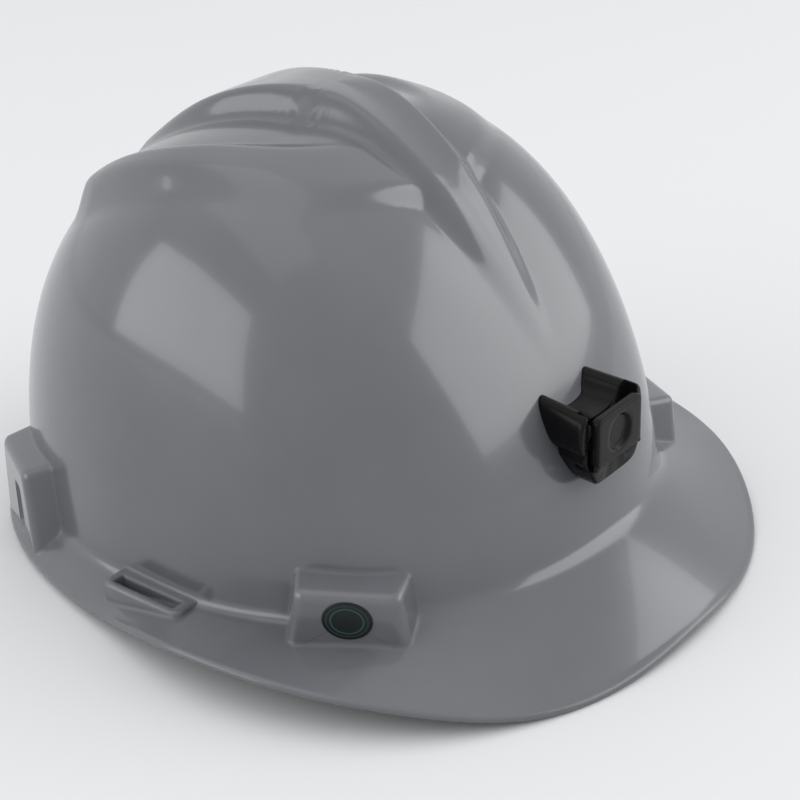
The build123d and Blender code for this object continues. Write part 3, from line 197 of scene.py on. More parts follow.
def brim_z(angle, share):
    """Upper face of the brim: a straight fall from crease to edge, bowed up by a parabola."""
    high, low = crease_z(angle), around(BRIM_EDGES, angle)
    inside = np.clip(share, 0, 1)
    return high + (low - high) * (share - 0.14 * inside * (1 - inside))


def brim_drop(angle):
    """The brim's wall measured straight down: its thickness over the cosine of its fall."""
    width, fall = around(BRIM_WIDTHS, angle), crease_z(angle) - around(BRIM_EDGES, angle)
    return BRIM_WALL * np.hypot(width, fall) / width


def crest_height(x, y):
    """Height of the crest above the plain dome: arms with smooth flanks, a groove between them,
    and the middle ridge, joined by taking the larger with a soft corner."""
    along = (y - CREST_FRONT) / CREST_LENGTH
    side = np.abs(x)
    outer = smooth_table(OUTER_AT, OUTER, along) * CREST_HALF
    inner = smooth_table(INNER_AT, INNER, along) * CREST_HALF
    ridge = smooth_table(RIDGE_AT, RIDGE, along) * CREST_HALF
    flank = CREST_FLANK + FRONT_SOFTER * (1 - along)
    arm = smooth_table(ARM_AT, ARM_HIGH, along) * CREST_RISE * ramp((outer - side) / flank)
    groove = ramp((along - 0.38) / 0.18) * ramp((inner - side) / CREST_FLANK)
    arm = arm * (1 - groove)
    middle = smooth_table(RIDGE_AT, RIDGE_HIGH, along) * CREST_RISE
    middle = middle * ramp((ridge - side) / np.minimum(CREST_FLANK, ridge))
    middle = middle * ramp((along - RIDGE_FADE[0]) / RIDGE_FADE[1])
    high, low = np.maximum(arm, middle), np.minimum(arm, middle)
    soft = high + (np.hypot(high, low) - high) * low / (high + 1)
    ends = ramp(along * CREST_LENGTH / CREST_FLANK)
    ends = ends * ramp((1 - along) * CREST_LENGTH / CREST_FLANK)
    return soft * ends


print("crest top", round(float(TOP_Z + crest_height(np.array(0.0), np.array(-10.0))), 1), "mm")

# %% [markdown]
# One closed surface makes the whole shell: down the outside from the crown, out over the brim,
# round its lip, back underneath and up the inside. The crease between dome and brim is a small
# curve, because a mould has no sharp inner corners.

# %% Build the shell's skin
def shell_profile(angle):
    """Rows of one closed profile for every angle at once. The dome uses s = sin(t)^(2/m) and
    height = cos(t)^(2/m), so the rows are dense where the dome is steep."""
    m = fullness(angle)[None, :]
    a = angle[None, :]

    def dome(wall, z_end, rows):
        level = np.clip((z_end[None, :] - FOOT_Z) / (RISE - wall), 1e-6, 1)
        t_end = np.arccos(level ** (m / 2))
        t = t_end * np.linspace(0.0, 1.0, rows)[:, None]
        radius = (plan_radius(a) - wall) * np.sin(t) ** (2 / m)
        z = FOOT_Z + (RISE - wall) * np.cos(t) ** (2 / m)
        x, y = radius * np.sin(a), -radius * np.cos(a)
        return radius, z + crest_height(x, y)

    crease = crease_z(angle)
    outer_r, outer_z = dome(0.0, crease + FILLET, 112)
    corner_r = dome_radius(angle, crease)
    width = around(BRIM_WIDTHS, angle)
    share0 = FILLET / width
    t = np.linspace(0, 1, 10)[1:-1, None]
    end_r, end_z = corner_r + FILLET, brim_z(angle, share0)
    bend_r = (1 - t) ** 2 * outer_r[-1] + 2 * t * (1 - t) * corner_r + t * t * end_r
    bend_z = (1 - t) ** 2 * outer_z[-1] + 2 * t * (1 - t) * crease + t * t * end_z
    share = share0 + (1 - share0) * np.linspace(0, 1, 22)[:, None]
    top_r, top_z = corner_r + share * width, brim_z(a, share)
    drop = brim_drop(angle)
    turn = np.linspace(0, np.pi, 9)[1:-1, None]
    lip_r = corner_r + width + BRIM_WALL / 2 * np.sin(turn)
    lip_z = top_z[-1] - drop / 2 * (1 - np.cos(turn))
    back = np.linspace(1, -UNDER_BEND / width, 16)
    low_r, low_z = corner_r + back * width, brim_z(a, back) - drop
    inner_r, inner_z = dome(WALL, low_z[-1] + INNER_STEP + INNER_STEP, 44)
    rows_r = np.vstack([outer_r, bend_r, top_r, lip_r, low_r, inner_r[::-1]])
    rows_z = np.vstack([outer_z, bend_z, top_z, lip_z, low_z, inner_z[::-1]])
    return rows_r, rows_z


COLUMNS = 440
angle = np.linspace(0, 2 * np.pi, COLUMNS, endpoint=False)
rows_r, rows_z = shell_profile(angle)
skin_points = np.stack([rows_r * np.sin(angle), PLAN_Y - rows_r * np.cos(angle), rows_z], axis=-1)
skin_points = skin_points[1:-1]
shell_skin = grid_mesh("shell_skin", skin_points, flip=True)
print("shell skin", skin_points.shape[:2], "points", len(shell_skin.data.polygons), "faces")

# %% [markdown]
# ## Bosses, slots and holes
# Four bosses hold the keys of the suspension, and two low blocks hold slots for ear defenders.
# Each boss is a tapered block with rounded edges, set square to the wall: its back follows the
# dome and its foot sinks into the brim. The photograph shows it wider and more flared than the CAD
# solid. The blocks are joined to the skin, and the sockets and slots are then cut from it.

# %% Sizes of the bosses and slots
BOSSES = {-50.5: (10.0, 39.0), 50.5: (10.0, 39.0), -135.0: (8.8, 38.0), 135.0: (8.8, 38.0)}
TOP_WIDTHS, FOOT_WIDTHS, TOP_FALL = (38.5, 32.5), (50.0, 45.0), 2.6
BOSS_EDGE, BOSS_CORNER, BOSS_WALL = 2.6, 2.8, 2.6
ROOT, SINK, FLAT_RING = 8.0, 1.3, 0.7
SOCKET_HALF, SOCKET_DEPTH, SOCKET_HEADROOM = 12.3, 4.6, 4.0
RECESS_HALF, RECESS_TALL, RECESS_Z, RECESS_ASIDE = 3.8, 8.5, 17.0, 4.0
SLOT_Y = PLAN_Y + 3.6
BLOCK_HALF, BLOCK_REACH, BLOCK_RISE, BLOCK_EDGE = 17.5, 10.5, 2.6, 1.4
SLOT_HALF, SLOT_GAP, SLOT_WALL = 14.0, 4.4, 2.4
RIVETS, RIVET_Z, RIVET_BORE, RIVET_HEAD, CLIP_Z = (-8.5, 8.5), 66.0, 2.0, 3.66, 55.0


def crease_radius(degrees):
    """The dome's radius where it meets the brim."""
    a = math.radians(degrees)
    return float(dome_radius(np.array(a), crease_z(a)))


def wall_heading(degrees):
    """Point of the crease, and the direction square to the plan there, from the gradient of the
    superellipse's formula."""
    a = math.radians(degrees)
    length = FRONT if math.cos(a) > 0 else REAR
    r = crease_radius(degrees)
    x, y = math.sin(a) / HALF_WIDTH, math.cos(a) / length
    gx = math.copysign(abs(x) ** (PLAN_POWER - 1), x) / HALF_WIDTH
    gy = math.copysign(abs(y) ** (PLAN_POWER - 1), y) / length
    size = math.hypot(gx, gy)
    return r * math.sin(a), -r * math.cos(a), gx / size, -gy / size


def to_frame(degrees, reach, side, z):
    """Boss coordinates (outward, round the dome, up) to the frame, in mm."""
    x0, y0, ox, oy = wall_heading(degrees)
    x = x0 + reach * ox - side * oy
    y = PLAN_Y + y0 + reach * oy + side * ox
    return np.stack([x, y, np.broadcast_to(z, x.shape)], axis=-1)


def polar(points):
    """Angle from the front and distance from the plan's middle."""
    x, y = points[..., 0], points[..., 1] - PLAN_Y
    return np.arctan2(x, -y), np.hypot(x, y)


def brim_top(points):
    """Height of the brim's upper face under each point, level inside the crease."""
    a, r = polar(points)
    share = (r - dome_radius(a, crease_z(a))) / around(BRIM_WIDTHS, a)
    return brim_z(a, np.maximum(share, 0.0))


def rounded_outline(base, tip, top, radius):
    """Open outline of a trapezoid that stands on z = 0, base and tip being its half widths: up one
    side, over the top with two round corners, and down the other side."""
    lean = math.atan2(base - tip, top)
    turn = np.linspace(lean, math.pi / 2, 8)
    x = tip - radius * (1 - math.sin(lean)) / math.cos(lean)
    corner = np.stack([x + radius * np.cos(turn), top - radius + radius * np.sin(turn)], -1)
    side = np.linspace((base, 0.0), corner[0], 12)[:-1]
    flat = np.linspace(corner[-1], (0, top), 10)[1:]
    line = np.vstack([side, corner, flat])
    return np.vstack([line, line[::-1][1:] * (-1, 1)])


def boss_block(degrees):
    """Rows of outlines from inside the wall to the front face, whose edge is a quarter round.
    A last narrow ring in the face's plane keeps its shading flat."""
    reach, top = BOSSES[degrees]
    edge = BOSS_EDGE
    turn = np.linspace(0, math.pi / 2, 7)
    steps = [(r, 0.0) for r in np.linspace(-ROOT, reach - edge, 14)]
    steps += [(reach - edge + edge * math.sin(t), edge * (1 - math.cos(t))) for t in turn[1:]]
    steps += [(reach, edge + FLAT_RING)]
    rows = []
    for r, inset in steps:
        k = (r + ROOT) / (reach + ROOT)
        half = [(b + (f - b) * k) / 2 - inset for b, f in (FOOT_WIDTHS, TOP_WIDTHS)]
        outline = rounded_outline(*half, top - TOP_FALL * k - inset, BOSS_CORNER)
        rows.append(to_frame(degrees, np.full(len(outline), r), outline[:, 0], outline[:, 1]))
    body = np.array(rows)
    body[..., 2] = np.maximum(body[..., 2], brim_top(body) - SINK)
    ox, oy = wall_heading(degrees)[2:]
    a, r = polar(body)
    wall = dome_radius(a, np.clip(body[..., 2], FOOT_Z, None)) - WALL / 2
    body = body + np.maximum(wall - r, 0)[..., None] * np.array([ox, oy, 0.0])
    return grid_mesh("boss", body, flip=True)


def box_mesh(name, corners):
    """Eight corners in frame mm: four below in turn, then the four above."""
    faces = [(0, 3, 2, 1), (4, 5, 6, 7), (0, 1, 5, 4), (1, 2, 6, 5), (2, 3, 7, 6), (3, 0, 4, 7)]
    mesh = bpy.data.meshes.new(name)
    mesh.from_pydata([tuple(v * MM for v in c) for c in corners], [], faces)
    piece = bpy.data.objects.new(name, mesh)
    bpy.context.scene.collection.objects.link(piece)
    return piece


def upright_prism(name, plan, low, high):
    return box_mesh(name, [(*p[:2], low) for p in plan] + [(*p[:2], high) for p in plan])


def boss_cutter(degrees):
    """The key's socket, open below."""
    reach, top = BOSSES[degrees]
    far = reach - BOSS_WALL
    near = far - SOCKET_DEPTH
    corners = [(near, -SOCKET_HALF), (far, -SOCKET_HALF), (far, SOCKET_HALF), (near, SOCKET_HALF)]
    plan = [to_frame(degrees, np.array(r), np.array(s), 0.0) for r, s in corners]
    return upright_prism("socket", plan, -5.0, top - SOCKET_HEADROOM)


def rounded(wave, power):
    """Sine or cosine with its sign kept and its size raised to a power: a rounded square wave."""
    return np.sign(wave) * np.abs(wave) ** power


def recess_cutter(degrees):
    """Shallow upright recess with round corners in a rear boss's face, towards the front."""
    reach, aside = BOSSES[degrees][0], math.copysign(RECESS_ASIDE, -degrees)
    cos, sin = circle(48)
    rows = []
    for out, grow in ((-1.2, 0.0), (-0.8, 0.25), (0.0, 0.5), (3.0, 0.8)):
        side = aside + rounded(cos, 0.4) * (RECESS_HALF + grow)
        z = RECESS_Z + rounded(sin, 0.4) * (RECESS_TALL + grow)
        rows.append(to_frame(degrees, np.full_like(cos, reach + out), side, z))
    return grid_mesh("recess", np.array(rows))


def slot_block(side):
    """Low block at the foot of the dome, rounded in plan and again at its top edge."""
    inner, outer = crease_radius(90) - ROOT, crease_radius(90) + BLOCK_REACH
    cos, sin = circle(64)
    top = crease_z(math.pi / 2) + BLOCK_RISE
    edge = BLOCK_EDGE
    turn = np.linspace(0, math.pi / 2, 6)
    steps = [(1 - edge / 10 * (1 - math.sin(u)), edge * (1 - math.cos(u))) for u in turn]
    rows = []
    for share, inset in [(0.0, 0.0), (0.5, 0.0), *steps, (1.0, edge + FLAT_RING)]:
        x = rounded(cos, 2 / 9) * ((outer - inner) / 2 - inset) + (outer + inner) / 2
        y = rounded(sin, 2 / 9) * (BLOCK_HALF - inset) + SLOT_Y
        plan = np.stack([side * x, y, np.zeros_like(x)], -1)
        low = brim_top(plan) - SINK
        plan[:, 2] = low + (top - low) * share
        rows.append(plan)
    return grid_mesh("slot_block", np.array(rows), flip=side < 0)


def slot_cutter(side):
    """Upright slot through the block and the brim."""
    half = SLOT_GAP / 2
    middle = crease_radius(90) + BLOCK_REACH - SLOT_WALL - half
    x0, x1 = sorted((side * (middle - half), side * (middle + half)))
    y0, y1 = SLOT_Y - SLOT_HALF, SLOT_Y + SLOT_HALF
    return upright_prism("slot", [(x0, y0), (x1, y0), (x1, y1), (x0, y1)], -5.0, 40.0)


def round_cutter(x, z, y0, y1, radius):
    """Drill from front to back: two circles about (x, z)."""
    cos, sin = circle(32)
    across, up = x + radius * cos, z + radius * sin
    rows = [np.stack([across, np.full_like(up, y), up], -1) for y in (y0, y1)]
    return grid_mesh("drill", np.array(rows))


def outward(piece):
    """Turns faces outward, as Boolean tools need."""
    work = bmesh.new()
    work.from_mesh(piece.data)
    bmesh.ops.recalc_face_normals(work, faces=work.faces)
    work.to_mesh(piece.data)
    work.free()
    return piece


def apply_all(piece):
    """Makes the result of a piece's modifiers its mesh."""
    depsgraph = bpy.context.evaluated_depsgraph_get()
    mesh = bpy.data.meshes.new_from_object(piece.evaluated_get(depsgraph))
    piece.modifiers.clear()
    old, piece.data = piece.data, mesh
    bpy.data.meshes.remove(old)


def combine(piece, other, operation):
    """One Boolean step, applied at once; the other piece is used up."""
    outward(other)
    step = piece.modifiers.new("cut", "BOOLEAN")
    step.operation, step.object, step.solver = operation, other, "MANIFOLD"
    apply_all(piece)
    bpy.data.objects.remove(other)


# %% Join the blocks and cut the sockets
outward(shell_skin)
print("skin faces", len(shell_skin.data.polygons))
for degrees in BOSSES:
    combine(shell_skin, boss_block(degrees), "UNION")
for side in (-1, 1):
    combine(shell_skin, slot_block(side), "UNION")
print("with blocks", len(shell_skin.data.polygons))
for degrees in BOSSES:
    combine(shell_skin, boss_cutter(degrees), "DIFFERENCE")
for degrees in (-135.0, 135.0):  # the rear bosses
    combine(shell_skin, recess_cutter(degrees), "DIFFERENCE")
for side in (-1, 1):
    combine(shell_skin, slot_cutter(side), "DIFFERENCE")
for x in RIVETS:
    combine(shell_skin, round_cutter(x, RIVET_Z, -130.0, -60.0, RIVET_BORE), "DIFFERENCE")
combine(shell_skin, round_cutter(0.0, CLIP_Z, 100.0, 150.0, RIVET_BORE), "DIFFERENCE")
crisp(shell_skin)
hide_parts("shell")
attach(shell_skin, "helmet")
print("with sockets and holes", len(shell_skin.data.polygons))
compare(shell_skin, "shell")

# %% [markdown]
# ## Lamp bracket
# One black moulding rides on the brow: a saddle with two ears, a chin, and a square plate in front
# of the slot for the lamp's blade. Its section across is one curve: from the chin up to a shallow
# groove, over the round bulge of each ear, and down into a dip between them. The section is drawn
# back onto the dome, and the slot, the neck, the plate and the rivets' seats are added.

# %% Section of the bracket
EAR_FRONT, SLOT_BACK, PLATE_FRONT, PLATE_BACK = -106.0, -101.2, -109.0, -106.2
PLATE_Z, PLATE_HALF, PLATE_TALL, PLATE_EDGE, PLATE_THICK = 66.25, 13.0, 8.8, 0.7, 2.8
DISH_FLOOR, DISH_EDGE, DISH_DEPTH = 5.2, 1.6, 1.35
SIDE = [(0, 49.2), (5, 49.2), (9.5, 50.3), (12, 52.4), (13.7, 55.2), (15.0, 58.2), (15.8, 60.2)]
SIDE += [(15.5, 61.4), (15.7, 62.6), (17.1, 63.9), (18.0, 66.0), (18.3, 68.6), (18.2, 71.2)]
SIDE += [(17.8, 73.8), (17.0, 76.2), (15.4, 77.9), (13.4, 78.2), (11.7, 77.2), (10.4, 75.2)]
SIDE += [(8.6, 73.3), (6.6, 72.2), (3.5, 71.6), (0, 71.4)]


def smooth_curve(points):
    """Catmull-Rom curve: between two points, a cubic whose slopes come from the next ones."""
    p = np.array(points, float)
    p = np.vstack([2 * p[0] - p[1], p, 2 * p[-1] - p[-2]])
    t = np.linspace(0, 1, 6, endpoint=False)[:, None]
    out = []
    for a, b, c, d in zip(p[:-3], p[1:-2], p[2:-1], p[3:]):
        square, cube = 2 * a - 5 * b + 4 * c - d, 3 * b - a - 3 * c + d
        out.append(0.5 * (2 * b + (c - a) * t + square * t ** 2 + cube * t ** 3))
    return np.vstack(out + [p[-2:-1]])


def dome_front(x, z):
    """y of the plain dome's outer face in front, by a few turns of sin(angle) = x / radius."""
    a = np.zeros_like(x)
    for _ in range(12):
        a = np.arcsin(np.clip(x / dome_radius(a, z), -1, 1))
    return PLAN_Y - dome_radius(a, z) * np.cos(a)


def bracket_body():
    """Rows of the section from the front face back to the dome. The front edge is a quarter round;
    behind it each row is drawn in a little and lifted at the top, and the chin curves back."""
    half = smooth_curve(SIDE)
    outline = np.vstack([half, (half * (-1, 1))[::-1][1:-1]])
    tangent = np.roll(outline, -1, 0) - np.roll(outline, 1, 0)
    inward = np.stack([-tangent[:, 1], tangent[:, 0]], -1)
    inward = inward / np.linalg.norm(tangent, axis=1, keepdims=True)
    edge = 1.0
    turn = np.linspace(0, math.pi / 2, 6)[::-1]
    steps = [(0.0, edge * (1 - math.sin(u)), edge * (1 - math.cos(u))) for u in turn]
    steps += [(share, 0.0, 0.0) for share in np.linspace(0.12, 1.0, 14)]
    rows = []
    for share, sink, inset in steps:
        place = outline + inward * inset
        x = place[:, 0] * (1 - 0.10 * share)
        z = place[:, 1] - 1.7 * (1 - share) * np.clip((place[:, 1] - 64) / 14, 0, 1)
        chin = np.clip((54 - z) / 5, 0, 1)
        start = EAR_FRONT - 1.6 * ramp((60 - z) / 4) + 3.5 * (1 - np.sqrt(1 - chin ** 2))
        stop = dome_front(x, z) - 0.2
        y = start + sink + (stop - start) * share
        rows.append(np.stack([x, y, z], -1))
    return grid_mesh("bracket_skin", np.array(rows))


def bracket_plate():
    """Square plate with a round dish. On each ray from its middle, (distance, depth) crosses the
    dish's floor and wall, the flat, and the quarter round of the superellipse border."""
    (cos, sin), power = circle(160), 14.0
    across, up = np.abs(cos / PLATE_HALF), np.abs(sin / PLATE_TALL)
    border = (across ** power + up ** power) ** (-1 / power)
    flat = border - PLATE_EDGE
    dish = DISH_FLOOR + DISH_EDGE
    rows = [(r, DISH_DEPTH) for r in np.linspace(0.8, DISH_FLOOR, 6)]
    for share in np.linspace(0, 1, 9)[1:]:
        rows.append((DISH_FLOOR + DISH_EDGE * share, DISH_DEPTH * (1 - float(ramp(share)))))
    rows += [(dish + (flat - dish) * share, 0.0) for share in np.linspace(0, 1, 5)[1:]]
    for u in np.linspace(0, math.pi / 2, 5)[1:]:
        rows.append((flat + PLATE_EDGE * math.sin(u), PLATE_EDGE * (1 - math.cos(u))))
    rows.append((border, PLATE_THICK))
    points = []
    for r, depth in rows:
        y = np.full_like(cos, PLATE_FRONT + depth)
        points.append(np.stack([r * cos, y, PLATE_Z + r * sin], -1))
    return grid_mesh("plate", np.array(points))


def peg(x, y, z, radius):
    """Small ball at a lower corner of the plate: circles of radius sin(u) at depth cos(u)."""
    cos, sin = circle(20)
    rows = []
    for u in np.linspace(0.1, math.pi - 0.1, 10):
        ring, depth = radius * math.sin(u), np.full_like(cos, y + radius * math.cos(u))
        rows.append(np.stack([x + ring * cos, depth, z + ring * sin], -1))
    return grid_mesh("peg", np.array(rows))


def upright_box(half, y0, y1, z0, z1):
    return upright_prism("block", [(-half, y0), (half, y0), (half, y1), (-half, y1)], z0, z1)


# %% Build the bracket
bracket = outward(bracket_body())
combine(bracket, upright_box(14.6, -112.0, SLOT_BACK, 57.0, 90.0), "DIFFERENCE")
soften = bracket.modifiers.new("edges", "BEVEL")
soften.width, soften.segments = 0.5 * MM, 3
soften.limit_method, soften.angle_limit = "ANGLE", math.radians(50)
apply_all(bracket)
combine(bracket, upright_box(9.0, PLATE_BACK - 0.5, SLOT_BACK + 0.5, 56.5, 62.0), "UNION")
combine(bracket, bracket_plate(), "UNION")
for side in (-1, 1):
    combine(bracket, peg(side * 12.7, -107.9, 57.8, 1.0), "UNION")
for x in RIVETS:
    for back, radius in ((SLOT_BACK + 1.1, RIVET_HEAD), (-80.0, RIVET_BORE)):
        combine(bracket, round_cutter(x, RIVET_Z, -104.0, back, radius), "DIFFERENCE")
crisp(bracket)
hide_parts("lamp_bracket")
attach(bracket, "helmet")
print("bracket", len(bracket.data.polygons), "faces")
compare(bracket, "lamp_bracket")

# %% [markdown]
# ## Side label
# The label on the wearer's right front boss is an oval film with plain rings. Its small print is
# left off. The rings come from a radius stored on each point.

# %% Build the label
LABEL_AT, LABEL_WIDE, LABEL_HIGH = -50.5, 8.0, 6.7
LABEL_PROFILE = [(r, 0.55) for r in np.linspace(0.05, 0.93, 15)]
LABEL_PROFILE += [(0.965, 0.52), (0.99, 0.42), (1.0, 0.25), (1.0, 0.0)]


def label_film():
    """Ellipses from the middle to the rim: (share of the half axes, height above the boss)."""
    low, top = (np.array(corner) * 1000 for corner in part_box("side_label"))
    reach, middle = BOSSES[LABEL_AT][0], (low[2] + top[2]) / 2
    cos, sin = circle(96)
    rows = []
    for r, lift in LABEL_PROFILE:
        side, z = LABEL_WIDE * r * cos, middle + LABEL_HIGH * r * sin
        rows.append(to_frame(LABEL_AT, np.full_like(cos, reach + lift), side, z))
    film = outward(grid_mesh("label_film", np.array(rows)))
    rings = film.data.attributes.new("ring", "FLOAT", "POINT")
    share = [r for r, _ in LABEL_PROFILE for _ in cos]
    rings.data.foreach_set("value", share + [0.0] * (len(film.data.vertices) - len(share)))
    return film


label = label_film()
crisp(label)
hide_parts("side_label")
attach(label, "helmet")
compare(label, "side_label")

# %% [markdown]
# ## The head band's pads
# The brow pad and the nape pad are cloth over foam. Each is a closed form wrapped round a cross
# section: flat where it lies on the band or the cover, crowned on the side that touches the head.
# Its edge is drawn in, a hem seam runs inside the edge, and sewn channels cross it.

# %% Helper: a crowned pad along an ellipse
BAND_Y = PLAN_Y + 17.0
HEM, HEM_HALF, CHANNEL_HALF = 3.2, 0.7, 1.5


def uv_attribute(piece, values):
    """Cloth coordinates in mm for each point, read by the weave shaders."""
    layer = piece.data.attributes.new("cloth_mm", "FLOAT_VECTOR", "POINT")
    layer.data.foreach_set("vector", np.asarray(values, float).ravel())


def pad(name, half_angle, wide, long, thick, z_mid, height, channels, behind):
    """The section at share u is a closed loop in (v, depth): the back at depth 0.05, and the front
    at thick (1 - |v|^5)^(1/2) end(u), less a dip at each seam. Angle = u half_angle about the
    band's axis."""
    u = np.linspace(-1, 1, 181)
    v = np.cos(np.linspace(0, math.pi, 41))[:, None] * np.ones_like(u)
    end = np.sqrt(np.clip(1 - np.abs(u) ** 14, 0, 1))
    crown = np.sqrt(np.clip(1 - np.abs(v) ** 5, 0, 1)) * end
    arc = u * half_angle * (wide + long) / 2
    seam = np.zeros_like(crown)
    for place in channels:
        seam = np.maximum(seam, np.exp(-((arc - place * arc[-1]) / CHANNEL_HALF) ** 2))
    for distance in (np.abs(v) * height / 2 - (height / 2 - HEM), np.abs(arc) - (arc[-1] - HEM)):
        seam = np.maximum(seam, np.exp(-(distance / HEM_HALF) ** 2) * 0.75)
    puff = 0.80 + 0.20 * np.cos(v * math.pi / 2) ** 2
    depth = thick * crown * puff * (1 - 0.42 * seam)
    up = v * height / 2 * (1 - 0.05 * (1 - end ** 2) - 0.012 * seam)
    front = np.stack([depth, up], -1)
    back = np.stack([np.full_like(depth, 0.05), up], -1)[::-1][1:-1]
    inward, up = np.moveaxis(np.concatenate([front, back], axis=0), -1, 0)
    x = (wide - inward) * np.sin(u * half_angle)
    y = BAND_Y + (1 if behind else -1) * (long - inward) * np.cos(u * half_angle)
    piece = grid_mesh(name, np.stack([x, y, z_mid + up], -1).transpose(1, 0, 2))
    flat = np.stack([np.broadcast_to(arc, up.shape), up, np.zeros_like(up)], -1)
    flat = flat.transpose(1, 0, 2).reshape(-1, 3)
    uv_attribute(piece, np.vstack([flat, [[arc[0], 0, 0], [arc[-1], 0, 0]]]))
    return outward(piece)


# %% Build both pads
brow = pad("brow_pad_cloth", math.atan(0.735), 78.7, 115.7, 4.1, 22.0, 29.8, (-0.5, 0.0, 0.5),
           False)
nape = pad("nape_pad_cloth", math.radians(18.6), 73.1, 73.1, 3.8, 20.0, 19.6, (0.0,), True)
for piece, node_name in ((brow, "brow_pad"), (nape, "nape_pad")):
    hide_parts(node_name)
    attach(piece, "helmet")
    compare(piece, node_name)

# %% [markdown]
# ## Crown straps
# Two woven bands cross over the head. Each is half an ellipse on two short upright ends, with the
# thick selvedge edges of real webbing, and a sewn end with a box of stitches.

# %% Build the crown straps
STRAP_SPRING_Z, STRAP_CROWN_Z, STRAP_FOOT_Z, KEY_TOP_Z = 48.5, 118.0, 37.7, 48.0
STRAP_HALF, STRAP_THICK, SEWN = 8.9, 1.3, 14.0
KEY_WALL_GAP, KEY_PLATE, STRAP_KEY_GAP = 1.7, 2.6, 2.9


def reach_inside(degrees, z):
    """Distance from the crease, square to the wall, at which the dome's outer face is crossed."""
    near, far = -60.0, 60.0
    while far - near > 0.01:
        middle = (near + far) / 2
        point = to_frame(degrees, np.array(middle), np.array(0.0), 0.0)
        a, r = polar(point)
        near, far = (middle, far) if r < dome_radius(a, z) else (near, middle)
    return near


def strap_foot(degrees):
    """Plan point of a strap's end, inside its key."""
    reach = reach_inside(degrees, KEY_TOP_Z) - WALL - KEY_WALL_GAP - KEY_PLATE - STRAP_KEY_GAP
    return to_frame(degrees, np.array(reach), np.array(0.0), 0.0)


def strap(name, start_angle, end_angle, lift):
    """Path by arc length: a leg, the half ellipse (half, rise) about STRAP_SPRING_Z, and a leg.
    Across, the band runs from w = -1 to 1 on its outer face and back on its inner one; it is
    thickest near |w| = 0.9, the selvedge, and again over the sewn ends."""
    start, end = strap_foot(start_angle), strap_foot(end_angle)
    run = end - start
    span = float(np.linalg.norm(run))
    ahead, middle = run / span, (start + end) / 2
    side = np.array([ahead[1], -ahead[0], 0.0])
    half = (span - STRAP_THICK) / 2
    rise = STRAP_CROWN_Z + lift - STRAP_SPRING_Z - STRAP_THICK / 2
    t = np.linspace(0, math.pi, 160)
    curve = np.stack([-half * np.cos(t), STRAP_SPRING_Z + rise * np.sin(t)], -1)
    leg = np.linspace(STRAP_FOOT_Z, KEY_TOP_Z, 14)
    first = np.stack([np.full_like(leg, -half), leg], -1)
    path = np.vstack([first, curve, (first * (-1, 1))[::-1]])
    slope = np.gradient(path, axis=0)
    slope /= np.linalg.norm(slope, axis=1, keepdims=True)
    normal = np.stack([-slope[:, 1], slope[:, 0]], -1)
    steps = np.linalg.norm(np.diff(path, axis=0), axis=1)
    length = np.concatenate([[0], np.cumsum(steps)])
    from_end = np.minimum(length, length[-1] - length)
    w = np.concatenate([np.linspace(-1, 1, 25), np.linspace(1, -1, 25)[1:-1]])
    face = np.concatenate([np.ones(25), -np.ones(23)])
    body = 0.40 + 0.14 * np.exp(-((np.abs(w) - 0.9) / 0.07) ** 2)
    high = face * body * np.sqrt(np.clip(1 - np.abs(w) ** 18, 0.0, 1))
    high = high * (1 + 0.25 * np.exp(-(from_end / SEWN) ** 8))[:, None]
    across = w * STRAP_HALF
    place = path[:, None, :] + normal[:, None, :] * high[..., None]
    points = middle + ahead * place[..., :1] + side * across[None, :, None]
    points[..., 2] = place[..., 1]
    piece = grid_mesh(name, points)
    cloth_mm = (length[:, None], across, from_end[:, None])
    flat = np.stack([np.broadcast_to(row, high.shape) for row in cloth_mm], -1).reshape(-1, 3)
    uv_attribute(piece, np.vstack([flat, [[0, 0, 0], [length[-1], 0, 0]]]))
    return outward(piece)


webbing = []
for name, start_angle, end_angle, lift in (("crown_strap_lower", -50.5, 135.0, 0.0),
                                           ("crown_strap_upper", 50.5, -135.0, 2.1)):
    piece = strap(name + "_webbing", start_angle, end_angle, lift)
    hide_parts(name)
    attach(piece, "helmet")
    compare(piece, name)
    webbing.append(piece)

# %% [markdown]
# ## Materials
# Every finish is built from nodes in the object's own millimetre space, so its grain has a real
# size. Three effects are shared as groups: a slow mottling, a fine moulded grain, and a weave.
# Edges catch light because real moulded edges are rounded: a Bevel node bends the shading normal
# there, and where it differs from the true normal, plastic is painted paler: partly wear, and
# partly a painted highlight along the edge.

# %% Helper: nodes in short form
def feed(tree, socket, value):
    """Links another node's output to a socket, or sets the socket; a colour may lack its alpha."""
    if isinstance(value, bpy.types.NodeSocket):
        tree.links.new(value, socket)
    else:
        socket.default_value = (*value, 1) if socket.type == "RGBA" and len(value) == 3 else value


def node(tree, kind, inputs=None, **settings):
    made = tree.nodes.new(kind)
    for key, value in settings.items():
        setattr(made, key, value)
    for key, value in (inputs or {}).items():
        feed(tree, made.inputs[key], value)
    return made


def maths(tree, operation, a, b=0.0, c=None, clamp=False):
    values = {0: a, 1: b} if c is None else {0: a, 1: b, 2: c}
    return node(tree, "ShaderNodeMath", values, operation=operation, use_clamp=clamp).outputs[0]


def times(tree, a, b):
    return maths(tree, "MULTIPLY", a, b)


def mix_colour(tree, factor, a, b):
    return node(tree, "ShaderNodeMix", {0: factor, 6: a, 7: b}, data_type="RGBA").outputs[2]


def noise(tree, vector, scale, detail, rough=0.5):
    inputs = {"Vector": vector, "Scale": scale, "Detail": detail, "Roughness": rough}
    return node(tree, "ShaderNodeTexNoise", inputs).outputs[0]


def bump(tree, height, strength, mm, **normal):
    inputs = {"Height": height, "Strength": strength, "Distance": mm * MM, **normal}
    return node(tree, "ShaderNodeBump", inputs).outputs[0]


